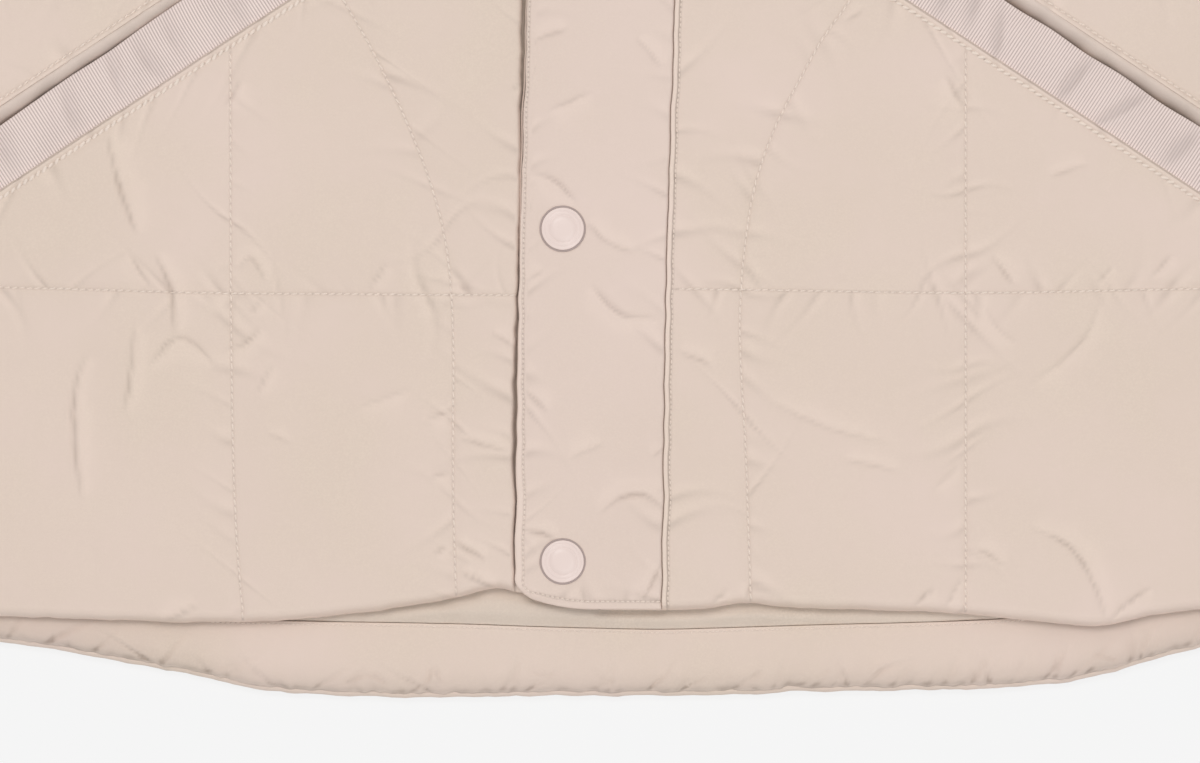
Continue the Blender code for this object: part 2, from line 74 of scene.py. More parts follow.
pocket = {
    "startU": 106.0, "startV": 252.0, "slope": 0.66, "tape": 21.8, "mouth": 6.4, "closed": 2.5,
    "opens": 14.0, "ends": 12.0, "ease": 12.0, "endRise": 35.0,
    "bagStitch": 57.0, "bagRun": 80.0, "bagCurve": 2.4,  # the line that holds the pocket bag
    "bagV":     (0, 38, 65, 87, 107, 126, 147, 165, 188, 211, 224, 241, 262, 300),
    "bagRight": (-0.8, 0.4, 0.6, 0.4, 0.0, -0.7, -1.2, -0.6, 0.9, 2.0, 2.1, 2.2, 0.4, 0.0),
    "bagLeft":  (3.8, 2.5, 1.5, 0.2, -1.2, -2.3, -3.3, -4.3, -3.9, -1.7, -1.0, 1.1, 0.4, 0.0),
}
flap = {
    "half": 29.2, "bottom": -0.8, "top": 684.0,
    "driftV": (0, 141, 242, 378, 606), "drift": (-3.9, -1.9, 1.2, 1.5, 0.0), "wiggle": 0.6,
    "sags": 0.0069, "sagsFrom": -2.0, "sagsUpTo": 40.0,  # the bottom edge curves up towards the free corner
}
heights = {
    "backTop": 6.0, "underFront": 8.2, "stitched": 13.5, "sewn": 16.05, "crown": 16.9, "underFlap": 13.5,
    "underTape": 13.3, "tapeBed": 13.75, "flapUnder": 15.3, "flapTop": 17.4,
}


# curves

def unit(x):
    return np.clip(x, 0, 1)


def positive(x):
    return np.clip(x, 0, None)


def bell(x, width):
    return np.exp(-((x / width) ** 2))


def fading(x, width):
    # 1 up to x = 0, and fading out beyond it over that width
    return np.exp(-positive(x) / width)


def eased(x):
    x = unit(x)
    return x * x * (3 - 2 * x)


def quarterRound(distance, width):
    # an edge's section: steep at 0, and level from that width on
    return np.sqrt(1 - (1 - unit(distance / width)) ** 2)


def smoothCurve(xs, ys, at):
    # cubic through the points, with no overshoot to speak of
    xs, ys = np.asarray(xs, float), np.asarray(ys, float)
    slopes = np.gradient(ys, xs)
    at = np.clip(at, xs[0], xs[-1])
    k = np.clip(np.searchsorted(xs, at, side="right") - 1, 0, len(xs) - 2)
    step = xs[k + 1] - xs[k]
    t = (at - xs[k]) / step
    return ((2 * t**3 - 3 * t**2 + 1) * ys[k] + (t**3 - 2 * t**2 + t) * step * slopes[k]
            + (3 * t**2 - 2 * t**3) * ys[k + 1] + (t**3 - t**2) * step * slopes[k + 1])


def gradientNoise(u, v, size, seed):
    # soft noise between about -1 and 1, with bumps of that size
    angles = np.random.RandomState(seed).rand(64, 64) * 2 * math.pi
    x, y = u / size + 1000.0, v / size + 1000.0
    column, row = np.floor(x).astype(int), np.floor(y).astype(int)
    fx, fy = x - column, y - row
    total = 0.0
    fadeX, fadeY = (t**3 * (t * (t * 6 - 15) + 10) for t in (fx, fy))
    for dx in (0, 1):
        for dy in (0, 1):
            angle = angles[(column + dx) % 64, (row + dy) % 64]
            weight = (fadeX if dx else 1 - fadeX) * (fadeY if dy else 1 - fadeY)
            total = total + weight * (np.cos(angle) * (fx - dx) + np.sin(angle) * (fy - dy))
    return total * 1.4


def noiseAlong(x, size, seed):
    return gradientNoise(x, 0 * x, size, seed)


def runOf(path):
    # distance along a path at each of its points
    return np.concatenate([[0], np.cumsum(np.hypot(*np.diff(path, axis=0).T))])


# seam, hem and quilting lines: each gives u for a v, or v for a u

def level(value):
    return lambda x: value + 0.0 * x


def moved(line, step):
    return lambda x: line(x) + step


def beside(line, steps):
    return [moved(line, step) for step in steps]


def upTo(line, steps):
    return [moved(line, -step) for step in reversed(steps)] + [line]


def hemLine(name):
    return lambda u: smoothCurve(hems["u"], hems[name], u)


flapV = np.arange(-60.0, 760.0, 1.0)
flapU = (smoothCurve(flap["driftV"], flap["drift"], flapV)
         + flap["wiggle"] * (noiseAlong(flapV, 17, 7) + 0.4 * noiseAlong(flapV, 7, 8)))


def flapDrift(v):
    return np.interp(v, flapV, flapU)


def flapBottom(x):
    return flap["bottom"] + flap["sags"] * positive(flap["sagsFrom"] - x) ** 2


def flapEdge(side):
    return lambda v: flap["half"] + side * flapDrift(v)


def sideEdge(scoop=0.0):
    def edge(v):
        straight = body["hemHalf"] + (body["chestHalf"] - body["hemHalf"]) * unit(v / body["underarm"])
        share = unit((v - body["underarm"]) / (body["tipV"] - body["underarm"]))
        back = body["tipU"] - body["chestHalf"] + body["armholeDepth"]
        cut = body["armholeDepth"] * (1 - (1 - share) ** 4) - back * share**2
        return straight - cut - scoop * np.sin(math.pi * share)
    return edge


def neckline(lowest):
    return lambda u: lowest + (body["neckV"] - lowest) * unit(u / body["neckU"]) ** 2.4


def shoulder(u):
    slope = (body["neckV"] - body["tipV"]) / (body["tipU"] - body["neckU"])
    return body["neckV"] - slope * (u - body["neckU"])


def topLine(lowest):
    return lambda u: np.where(u < body["neckU"], neckline(lowest)(u), shoulder(u))


def frontOutline(side):
    return hemLine("front" + sideName[side]), topLine(body["frontNeck"]), sideEdge(body["frontScoop"])


pocketStretch = math.hypot(1.0, pocket["slope"])  # height for each millimetre square to the mouth
pocketCos = math.cos(math.atan(pocket["slope"]))


def tapeLower(u):
    beyond = u - pocket["startU"]
    rounded = (beyond + np.sqrt(beyond * beyond + 5.0 * 5.0)) / 2  # a soft corner where the tape starts
    return pocket["startV"] - pocket["slope"] * rounded


def lowerLip(u):
    return tapeLower(u) + pocket["tape"] * pocketStretch


def mouthOpen(u):
    start = pocket["startU"] + pocket["opens"]
    end = body["hemHalf"] - pocket["ends"]
    return eased(np.minimum(u - start, end - u) / pocket["ease"])


def upperLip(u):
    closed = pocket["closed"]
    return lowerLip(u) + closed + (pocket["mouth"] * pocketStretch - closed) * mouthOpen(u)


def bagCurve(v):
    share = unit((v - pocket["bagRun"]) / (pocket["startV"] - pocket["bagRun"]))
    curve = pocket["bagStitch"] + (pocket["startU"] - pocket["bagStitch"]) * share**pocket["bagCurve"]
    tapeEnd = pocket["slope"] * np.clip(v - pocket["startV"], 0, pocket["endRise"])
    above = unit((v - pocket["startV"] - pocket["endRise"])
                 / (body["neckV"] - pocket["startV"] - pocket["endRise"]))
    return curve + tapeEnd - (pocket["startU"] + pocket["slope"] * pocket["endRise"] - body["neckU"]) * above


def bagStitch(side):
    return lambda v: bagCurve(v) + smoothCurve(pocket["bagV"], pocket["bag" + sideName[side]], v)


def frontColumn(side):
    drift = quilting["columnDrift"] * (side < 0)
    return lambda v: quilting["column"] - drift * fading(v, quilting["columnRun"])


def frontLevel(side):
    offsets = quilting["level" + sideName[side]]
    return lambda u: quilting["pitch"] + smoothCurve(quilting["levelU"], offsets, u)


def fromOutline(u, v, hem, edge, top):
    return positive(np.minimum(np.minimum(v - hem(u), edge(v) - u), top(u) - v))


def seamShare(u, v, edge):
    # 1 at the side and shoulder seams, where front and back meet, and 0 away from them
    toSide = edge(v) - u + 200 * (v > body["underarm"])
    toShoulder = shoulder(u) - v + 200 * (u < body["neckU"])
    return fading(np.minimum(toSide, toShoulder), 8)


# puckers and creases: both change a height field

wrinkling = {"puckers": 1.8, "creases": 1.9, "shade": 0.26, "shadeFrom": -0.7, "shadeTo": 0.15}


def puckers(along, across, start, end, seed, every=12.0, reach=5.2, deep=0.3, lean=0.6):
    # short sharp dents that run out from a stitched line, most of them leaning one way; some cross it
    rng = np.random.RandomState(seed)
    total = np.zeros_like(along)
    at = start + rng.uniform(0.2, 1.0) * every
    while at < end:
        width = rng.uniform(0.8, 1.9)
        length = reach * rng.uniform(0.5, 1.6)
        depth = deep * wrinkling["puckers"] * rng.uniform(0.3, 2.0)
        slant = lean * rng.uniform(0.1, 1.8) * rng.choice([1, 1, 1, -1])
        bend = rng.uniform(-0.03, 0.03)
        oneSide = rng.choice([-1, 0, 1])
        middle = at
        at += every * rng.uniform(0.4, 1.7)
        spread = 6 * width + 3.5 * length * (abs(slant) + 0.1)
        near = (np.abs(across) < 3.5 * length) & (np.abs(along - middle) < spread)
        if oneSide:
            near &= across * oneSide > -0.5
        d = across[near]
        fold = along[near] - middle - slant * d - bend * d * np.abs(d)
        shape = bell(fold, width) - 0.55 * bell(fold - 1.9 * width, 1.5 * width)
        total[near] -= depth * shape * np.exp(-np.abs(d) / length) * (1 - np.exp(-np.abs(d) / 0.9))
    return total


def nearestOnFold(line, x, v):
    # for each point: its place along the line, from 0 to 1, and its distance, with a sign for its side
    best, place, signed = np.full(x.shape, 1e9), np.zeros_like(x), np.zeros_like(x)
    done, whole = 0.0, np.hypot(*np.diff(line, axis=0).T).sum()
    for (ax, av), (bx, bv) in zip(line, line[1:]):
        length = math.hypot(bx - ax, bv - av)
        tx, tv = (bx - ax) / length, (bv - av) / length
        t = np.clip((x - ax) * tx + (v - av) * tv, 0, length)
        ox, ov = x - ax - t * tx, v - av - t * tv
        distance = np.hypot(ox, ov)
        closer = distance < best
        best = np.where(closer, distance, best)
        place = np.where(closer, (done + t) / whole, place)
        signed = np.where(closer, np.where(tx * ov - tv * ox >= 0, distance, -distance), signed)
        done += length
    return place, signed


def creases(x, v, rows):
    # each row: points of the fold's line, how deep and how wide it is, and the side on which it fades out
    total = np.zeros_like(x)
    for points, deep, wide, ridgeSide in rows:
        points = np.array(points, float)
        run = runOf(points)
        at = np.linspace(0, run[-1], 4 * len(points))
        line = np.stack([smoothCurve(run, points[:, 0], at), smoothCurve(run, points[:, 1], at)], -1)
        low, high = line.min(0) - 5 * wide, line.max(0) + 5 * wide
        near = (x > low[0]) & (x < high[0]) & (v > low[1]) & (v < high[1])
        if not near.any():
            continue
        px, pv = x[near], v[near]
        place, signed = nearestOnFold(line, px, pv)
        uneven = 0.8 + 0.5 * gradientNoise(px, pv, 9, 31)
        depth = deep * wrinkling["creases"] * uneven * np.sin(math.pi * unit(place)) ** 0.8
        out = signed * ridgeSide + 0.4 * gradientNoise(px, pv, 6, 32)
        fold = eased((out + 1.0) / 1.5) * fading(out - 0.4, 0.9 * wide)
        foot = bell(out + 1.3, 1.1) * fading(-out - 1.3, 0.5 * wide)
        total[near] += depth * (0.8 * fold - 0.6 * foot)
    return total


def foldShadeAndHighlight(folds):
    # painted shade in the foot of a fold and a painted highlight along its ridge
    return wrinkling["shade"] * np.clip(folds, wrinkling["shadeFrom"], wrinkling["shadeTo"])


# stitches: pitch and length, half the thread's width, how far it stands up, and its slant to the line
sewing = {
    "quilted": {"pitch": 3.0, "long": 2.5, "half": 0.42, "rise": 0.08, "slant": 0.18},
    "pocket":  {"pitch": 3.0, "long": 3.1, "half": 0.86, "rise": 0.10, "slant": 0.44},
    "edge":    {"pitch": 2.0, "long": 1.6, "half": 0.28, "rise": 0.04, "slant": 0.14},
}


def pathOver(start, end, line):
    us = np.arange(start, end, 1.0)
    return np.stack([us, line(us) + 0 * us], -1)


def pathUp(start, end, line):
    vs = np.arange(start, end, 1.0)
    return np.stack([line(vs) + 0 * vs, vs], -1)


def mirrored(runs, side):
    return [(path * np.array([side, 1.0]), look) for path, look in runs]


# closed shells from a grid

def hats(positions, count):
    # how much of each guide line a row or column takes
    return positive(1 - np.abs(positions[:, None] - np.arange(count)[None, :]))


def fillGuides(parts):
    # positions between guide lines, with each span divided into that many parts
    positions = [0.0]
    for k, count in enumerate(parts):
        positions += [k + (i + 1) / count for i in range(count)]
    return np.array(positions)


def guides(first, *bands):
    # guide lines side by side, where each band gives the parts that lead up to it and its own lines
    lines, parts = list(first), [1] * (len(first) - 1)
    for count, more in bands:
        lines += more
        parts += [int(count)] + [1] * (len(more) - 1)
    return lines, fillGuides(parts)


def crossings(rowLines, rowAt, columnLines, columnAt):
    # where each row line meets each column line, found by turns, with half steps at first
    rowHats, columnHats = hats(rowAt, len(rowLines)), hats(columnAt, len(columnLines))
    v = np.full((len(rowAt), len(columnAt)), 200.0)
    for turn in range(50):
        u = sum(columnHats[None, :, k] * line(v) for k, line in enumerate(columnLines))
        met = sum(rowHats[:, None, k] * line(u) for k, line in enumerate(rowLines))
        v = 0.5 * v + 0.5 * met if turn < 30 else met
    return u, v


def innerPicks(count, step, edge=(1, 3, 5)):
    # inner rows or columns that the coarse side keeps: some near each end, and every few between
    first, last = edge[-1] + step, count - 1 - edge[-1] - step
    picks = list(edge) + list(range(first, last + 1, step)) + [count - 1 - k for k in edge]
    return np.array(sorted(set(k for k in picks if 0 < k < count - 1)))


def squares(index, turned=False):
    corners = [index[:-1, :-1], index[:-1, 1:], index[1:, 1:], index[1:, :-1]]
    if turned:
        corners = [corners[k] for k in (0, 3, 2, 1)]
    return np.stack(corners, -1).reshape(-1, 4).tolist()


def closedShell(name, x, v, z, otherZ, keepRows, keepColumns):
    # a dense sheet closed by a coarse one at the heights otherZ; the outline belongs to both
    rows, columns = x.shape
    rowPicks, columnPicks = innerPicks(rows, *keepRows), innerPicks(columns, *keepColumns)
    dense = np.stack([x, v - originV, z], -1).reshape(-1, 3)
    coarse = np.stack([x, v - originV, otherZ + 0 * z], -1)[np.ix_(rowPicks, columnPicks)].reshape(-1, 3)
    index = np.arange(rows * columns).reshape(rows, columns)
    inner = rows * columns + np.arange(len(rowPicks) * len(columnPicks)).reshape(len(rowPicks), -1)
    faces = squares(index) + squares(inner, turned=True)
    for outline, line, picks, turned in (
            (index[0], inner[0], columnPicks, True), (index[-1], inner[-1], columnPicks, False),
            (index[:, 0], inner[:, 0], rowPicks, False), (index[:, -1], inner[:, -1], rowPicks, True)):
        for k in range(len(picks) - 1):
            face = [int(line[k]), int(line[k + 1])] + outline[picks[k]:picks[k + 1] + 1][::-1].tolist()
            faces.append(face if turned else face[::-1])
    for row, column in ((0, 0), (0, -1), (-1, 0), (-1, -1)):
        alongRow = index[row, :columnPicks[0] + 1] if column == 0 else index[row, columnPicks[-1]:][::-1]
        upColumn = index[:rowPicks[0] + 1, column] if row == 0 else index[rowPicks[-1]:, column][::-1]
        face = [int(inner[row, column])] + alongRow[::-1].tolist() + upColumn[1:].tolist()
        faces.append(face if (row == 0) == (column == 0) else face[::-1])
    return meshPiece(name, np.concatenate([dense, coarse]) * 0.001, faces)


def meshPiece(name, points, faces):
    mesh = bpy.data.meshes.new(name)
    mesh.from_pydata(points.tolist(), [], faces)
    mesh.update()
    piece = bpy.data.objects.new(name, mesh)
    bpy.context.scene.collection.objects.link(piece)
    bpy.ops.object.select_all(action="DESELECT")
    piece.select_set(True)
    bpy.context.view_layer.objects.active = piece
    bpy.ops.object.mode_set(mode="EDIT")
    bpy.ops.mesh.select_all(action="SELECT")
    bpy.ops.mesh.normals_make_consistent(inside=False)
    bpy.ops.object.mode_set(mode="OBJECT")
    bpy.ops.object.shade_smooth()
    return piece


def stitchMarks(x, v, runs):
    # for each point: its place along the nearest line of stitches, in stitches, and how near that line is
    spots = []
    for path, look in runs:
        steps = np.diff(path, axis=0)
        lengths = np.hypot(*steps.T)
        pitch = sewing[look]["pitch"]
        turn = np.concatenate([steps, steps[-1:]]) / np.append(lengths, lengths[-1])[:, None]
        spots.append(np.column_stack([path, runOf(path) / pitch, turn, np.full(len(path), pitch)]))
    spots = np.concatenate(spots)
    tree = KDTree(len(spots))
    for number, (a, b) in enumerate(spots[:, :2].tolist()):
        tree.insert((a, b, 0), number)
    tree.balance()
    points = np.stack([x.ravel(), v.ravel()], -1)
    nearest = spots[[tree.find((a, b, 0))[1] for a, b in points.tolist()]]
    away = points - nearest[:, :2]
    ahead = away[:, 0] * nearest[:, 3] + away[:, 1] * nearest[:, 4]
    aside = np.abs(away[:, 1] * nearest[:, 3] - away[:, 0] * nearest[:, 4])
    near = np.where(np.abs(ahead) < 1.2, unit(1 - aside / 2), 0)
    return np.stack([nearest[:, 2] + ahead / nearest[:, 5], near], -1)


def paint(piece, name, kind, field, values):
    # values at the mesh's first points, from a grid or a list, and 0 at the rest
    rows = np.zeros((len(piece.data.vertices), 3 if kind == "FLOAT_VECTOR" else 1))
    values = np.asarray(values).reshape(-1, rows.shape[1])
    rows[:len(values)] = values
    piece.data.attributes.new(name, kind, "POINT").data.foreach_set(field, rows.ravel())


def paintSewingAndShade(piece, tone, marks=None):
    # the cloth's material reads where the needle holes are, and the painted light and shade that lighten
    # edges and ridges and darken folds, gaps and hollows
    if marks is None:
        marks = np.zeros((tone.size, 2))
    paint(piece, "sewing", "FLOAT_VECTOR", "vector", np.column_stack([marks, tone.ravel()]))


# materials

def plug(node, values):
    # each value is a number, a colour or another node's output
    for key, value in values.items():
        socket = node.inputs[key]
        if isinstance(value, bpy.types.NodeSocket):
            node.id_data.links.new(value, socket)
        else:
            socket.default_value = (*value, 1) if socket.type == "RGBA" else value


def newMaterial(name, colour, roughness, sheen=0.0):
    # the material, its shader, and two helpers that add a node and give back one of its outputs
    material = bpy.data.materials.new(name)
    material.use_nodes = True
    shader = material.node_tree.nodes["Principled BSDF"]
    plug(shader, {"Base Color": colour, "Roughness": roughness, "Sheen Weight": sheen,
                  "Sheen Roughness": 0.5, "Specular IOR Level": 0.25})

    def add(kind, inputs, output=0, **settings):
        node = material.node_tree.nodes.new("ShaderNode" + kind)
        for key, value in settings.items():
            setattr(node, key, value)
        plug(node, inputs)
        return node.outputs[output]

    def sums(operation, *values, **settings):
        return add("Math", dict(enumerate(values)), operation=operation, **settings)
    return material, shader, add, sums


def noiseNode(add, place, scale, detail, roughness=0.5):
    return add("TexNoise", {"Vector": place, "Scale": scale, "Detail": detail, "Roughness": roughness}, "Fac")


def bandsNode(add, place, direction, scale, distortion):
    return add("TexWave", {"Vector": place, "Scale": scale, "Distortion": distortion}, "Fac",
               wave_type="BANDS", bands_direction=direction)


def mixNode(add, first, second, share):
    return add("Mix", {6: first, 7: second, 0: share}, 2, data_type="RGBA")


def bumpNode(add, height, strength, distance=0.0001, **more):
    return add("Bump", {"Height": height, "Strength": strength, "Distance": distance, **more}, "Normal")


def needleHoles(add, sums):
    # 1 in a needle hole, up to 1 on a line of stitches, and the painted light and shade on the mesh; the
    # cloth darkens holes and lines with painted shade
    sewn = add("Attribute", {}, "Vector", attribute_name="sewing")
    stitch, near, tone = add("SeparateXYZ", {0: sewn}).node.outputs
    ahead = sums("MULTIPLY", sums("PINGPONG", stitch, 0.5), 2.4)
    aside = sums("MULTIPLY_ADD", near, -2.0, 2.0)
    away = sums("SQRT", sums("ADD", sums("MULTIPLY", ahead, ahead), sums("MULTIPLY", aside, aside)))
    hole = sums("DIVIDE", sums("SUBTRACT", 0.62, away), 0.42, use_clamp=True)
    return hole, sums("SUBTRACT", 1.0, aside, use_clamp=True), tone


clothLook = {"grain": 1.8, "holeShade": 0.06, "lineShade": 0.08}


def clothMaterial(name, light, dark, warm, roughness, sheen, weave):
    # plain weave with a little uneven dye
    material, shader, add, sums = newMaterial(name, light, roughness, sheen)
    place = add("TexCoord", {}, "Object")
    dye = noiseNode(add, place, 17.0, 3.0, 0.55)
    speck = noiseNode(add, place, 1100.0, 2.0, 0.7)
    patch = noiseNode(add, place, 34.0, 4.0, 0.6)
    uneven = sums("MULTIPLY_ADD", speck, clothLook["grain"], sums("MULTIPLY_ADD", patch, 1.2, -0.6))
    dyed = mixNode(add, mixNode(add, light, dark, uneven), warm,
                   sums("MULTIPLY_ADD", dye, 2.4, -0.8, use_clamp=True))
    hole, line, tone = needleHoles(add, sums)
    shade = sums("MULTIPLY_ADD", line, -clothLook["lineShade"], sums("ADD", tone, 1.0))
    shade = sums("MULTIPLY_ADD", hole, -clothLook["holeShade"], shade)
    shaded = add("VectorMath", {0: dyed, "Scale": shade}, operation="SCALE")
    deep = sums("MAXIMUM", sums("MULTIPLY_ADD", tone, -0.7, 0.9), 1.0)
    warp, weft = (bandsNode(add, place, direction, 314.0 / weave, 0.6) for direction in "XY")
    dimple = bumpNode(add, sums("MULTIPLY", hole, -1.0), 0.45, 0.0004,
                      Normal=bumpNode(add, sums("ADD", sums("MULTIPLY", warp, weft), speck), 0.5))
    plug(shader, {
        # painted shade is made deeper and warmer, as light between folds takes the cloth's colour, and
        # painted light and shade raise and lower the specular and sheen
        "Base Color": add("Gamma", {"Color": shaded, "Gamma": deep}),
        "Specular IOR Level": sums("MULTIPLY_ADD", tone, 0.45, 0.25, use_clamp=True),
        "Sheen Weight": sums("MULTIPLY_ADD", tone, sheen * 1.6, sheen, use_clamp=True),
        "Normal": dimple,
    })
    return material


cloths = {  # light, dark and warm colour, roughness, sheen, and the threads' pitch in millimetres
    "shell cloth": ((0.782, 0.652, 0.552), (0.726, 0.598, 0.506), (0.770, 0.626, 0.550), 0.62, 0.10, 0.42),
    "flap cloth": ((0.785, 0.650, 0.562), (0.735, 0.600, 0.520), (0.777, 0.632, 0.562), 0.62, 0.10, 0.42),
    "lining cloth": ((0.755, 0.645, 0.545), (0.655, 0.550, 0.462), (0.708, 0.598, 0.512), 0.50, 0.05, 0.35),
    "pocket cloth": ((0.760, 0.640, 0.560), (0.700, 0.585, 0.510), (0.735, 0.610, 0.545), 0.55, 0.05, 0.4),
}
shellCloth, flapCloth, liningCloth, mouthCloth = (clothMaterial(name, *look) for name, look in cloths.items())


def tapeMaterial(light, dark, pitch):
    # grosgrain with painted shade in the valleys between its ribs and where the tape is darkened; the along
    # attribute on the mesh is the distance down the tape in millimetres
    material, shader, add, sums = newMaterial("grosgrain tape", light, 0.62, 0.15)
    place = add("TexCoord", {}, "Object")
    along, darkening = (add("Attribute", {}, "Fac", attribute_name=name) for name in ("along", "darkening"))
    rib = sums("ABSOLUTE", sums("SINE", sums("MULTIPLY", along, math.pi / pitch)))
    rib = sums("MULTIPLY", sums("POWER", rib, 1.1), sums("MULTIPLY_ADD", darkening, -0.5, 1.0))
    ribShadeAndWear = sums("MULTIPLY_ADD", noiseNode(add, place, 60.0, 3.0), 0.25, rib)
    tint = mixNode(add, dark, light, sums("MULTIPLY_ADD", darkening, 0.30, ribShadeAndWear))
    shaded = add("VectorMath", {0: tint, "Scale": sums("MULTIPLY_ADD", darkening, -0.19, 1.0)}, operation="SCALE")
    plug(shader, {"Base Color": shaded, "Normal": bumpNode(add, noiseNode(add, place, 1500.0, 2.0), 0.2)})
    return material


def threadMaterial(colour, dark):
    # fine twisted strands
    material, shader, add = newMaterial("sewing thread", colour, 0.5, 0.2)[:3]
    strands = bandsNode(add, add("TexCoord", {}, "Object"), "DIAGONAL", 900.0, 1.5)
    plug(shader, {"Base Color": mixNode(add, dark, colour, strands)})
    return material


def enamelMaterial(colour):
    material, shader, add = newMaterial("snap enamel", colour, 0.32)[:3]
    grain = noiseNode(add, add("TexCoord", {}, "Object"), 700.0, 3.0)
    plug(shader, {"Normal": bumpNode(add, grain, 0.08)})
    return material


tapeCloth = tapeMaterial((0.860, 0.724, 0.674), (0.400, 0.314, 0.294), 1.185)
thread = threadMaterial((0.845, 0.722, 0.632), (0.775, 0.655, 0.568))
snapFinishes = [enamelMaterial((0.812, 0.672, 0.622)), newMaterial("snap rim", (0.42, 0.33, 0.305), 0.45)[0]]


def dress(piece, material, slotName, *replaced):
    piece.data.materials.append(material)
    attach(piece, "root")
    if replaced:
        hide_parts(*replaced)
    return piece


print("materials ready")

# front panels

frontCut = {
    "grid": 1.35, "upperGrid": 3.4, "roll": 3.0, "hemFall": 0.7, "hemFallWide": 8.0, "mouthDrop": 3.4,
    "puffNear": 2.4, "puffFar": 15.0, "sewnDeep": 0.35, "middle": 9.3, "seamFoot": 16.5,
    "lumps": 0.50, "smallLumps": 0.22, "crumple": 0.04, "hemLumps": 0.5,
    # hemLight is painted light along the hem's roll, and gapShade painted shade in the gap beside the flap's
    # free edge
    "hemLight": 0.16, "gapShade": 0.42,  # the hem's roll is lighter, and the gap beside the flap darker
    "gapV":    (-10, 40, 60, 95, 125, 175, 205, 245, 320, 640),
    "gapWide": (0.0, 0.2, 0.8, 0.9, 0.2, 0.5, 1.4, 1.9, 1.5, 1.1),  # beside the flap's free edge
}
edgeSteps = (0.12, 0.45, 1.0, 1.8, 2.9, 4.3, 6.0, 8.2)
seamSteps = (-2.8, -1.4, -0.55, 0.0, 0.55, 1.4, 2.8)
tapeSteps = (-6.6, -4.6, -3.5, -3.1, -2.7, -2.25, -1.7, -1.1, -0.5, -0.12, 0.0)
lipSteps = (0.12, 0.5, 1.1, 1.7, 2.25, 2.7, 3.1, 3.5, 4.6, 6.6)
flapSteps = (-1.0, 0.0, 0.25, 0.6, 1.05, 1.5, 1.85, 2.1, 2.5, 3.2, 4.4)
# light and seam light are painted highlights on the folds, and the line shade and seam shade painted shade in
# thin lines beside them
ridge = {  # the narrow folds beside the pocket's stitching and over the flap
    "wide": 1.9, "high": 0.25, "upperHigh": 0.35, "stitch": 2.3, "light": 0.03, "lineShade": 0.18,
    "seamWide": 2.0, "seamHigh": 0.55, "seamStitch": 2.6, "seamLight": 0.07, "seamShade": 0.30,
}

frontCreases = {
    -1: (
        (((-194, 189), (-190, 171), (-182, 148)), 0.9, 3.4, 1),
        (((-187, 140), (-179, 127)), 0.8, 2.0, -1),
        (((-175, 141), (-169, 128), (-167, 108)), 0.9, 2.2, 1),
        (((-202, 100), (-206, 90), (-207, 69), (-204, 43)), 0.9, 2.6, 1),
        (((-183, 112), (-184, 98), (-187, 76)), 0.7, 2.4, 1),
        (((-178, 95), (-166, 106), (-152, 95)), 0.7, 2.8, -1),
        (((-144, 135), (-139, 140), (-131, 130)), 0.6, 1.8, 1),
        (((-132, 122), (-137, 116)), 0.5, 1.6, 1),
        (((-132, 111), (-140, 104), (-148, 101)), 0.6, 1.8, 1),
        (((-141, 209), (-147, 198)), 0.6, 2.6, 1),
        (((-90, 126), (-83, 136)), 0.5, 2.0, -1),
        (((-34, 204), (-29, 208)), 0.5, 2.0, -1),
        (((-42, 110), (-32, 104)), 0.6, 2.2, 1),
        (((-67, 74), (-59, 77)), 0.6, 2.0, -1),
        (((-55, 68), (-34, 63)), 0.5, 2.4, 1),
        (((-66, 50), (-59, 53)), 0.6, 2.2, -1),
        (((-64, 20), (-60, 24)), 0.6, 1.8, -1),
        (((-57, 27), (-44, 20)), 0.7, 2.2, 1),
        (((-54, 15), (-40, 8)), 0.7, 2.0, 1),
        (((-174, -5), (-159, 2)), 0.6, 2.2, 1),
        (((-128, 96), (-135, 84)), 0.35, 2.0, 1),
        (((-131, 70), (-121, 66)), 0.30, 1.6, 1),
        (((-96, 78), (-74, 86)), 0.25, 3.4, -1),
        (((-60, 330), (-84, 346), (-92, 368)), 0.6, 3.0, 1),
        (((-180, 310), (-196, 326), (-214, 330)), 0.6, 2.8, -1),
        (((-110, 452), (-92, 438), (-70, 436)), 0.6, 2.8, 1),
        (((-168, 470), (-180, 448), (-178, 424)), 0.7, 3.0, -1),
        (((-100, 590), (-118, 604), (-142, 602)), 0.6, 2.8, 1),
    ),
    1: (
        (((98, 234), (105, 238)), 0.5, 1.8, 1),
        (((137, 211), (146, 196)), 0.6, 2.6, -1),
        (((179, 172), (194, 177)), 0.5, 2.2, 1),
        (((157, 141), (166, 128)), 0.6, 2.2, 1),
        (((199, 128), (205, 135)), 0.5, 1.8, -1),
        (((220, 130), (229, 140)), 0.5, 1.8, -1),
        (((200, 121), (195, 108), (183, 96), (172, 88)), 0.40, 2.6, 1),
        (((152, 120), (158, 110), (166, 104)), 0.30, 2.4, -1),
        (((98, 60), (120, 55)), 0.4, 2.6, 1),
        (((32, 103), (46, 97)), 0.5, 2.2, 1),
        (((150, 25), (162, 18)), 0.6, 2.2, 1),
        (((172, 33), (188, 25), (198, 9), (203, -5)), 0.8, 2.6, 1),
        (((126, 0), (134, 7)), 0.7, 1.8, -1),
        (((139, 0), (145, 11)), 0.7, 1.8, -1),
        (((204, -6), (212, 2), (220, 7)), 0.8, 2.2, -1),
        (((46, 1), (52, 6)), 0.7, 1.8, -1),
        (((58, 4), (60, 10)), 0.6, 1.6, 1),
        (((66, 84), (92, 72), (118, 66)), 0.30, 3.2, 1),
        (((134, 46), (144, 56)), 0.30, 2.2, -1),
        (((60, 318), (82, 330), (104, 328)), 0.6, 2.8, -1),
        (((190, 350), (204, 332), (224, 326)), 0.6, 3.0, 1),
        (((88, 470), (96, 446), (90, 424)), 0.7, 3.0, 1),
        (((160, 428), (178, 440), (184, 462)), 0.6, 2.8, -1),
        (((110, 612), (130, 600), (140, 584)), 0.6, 2.8, 1),
    ),
}


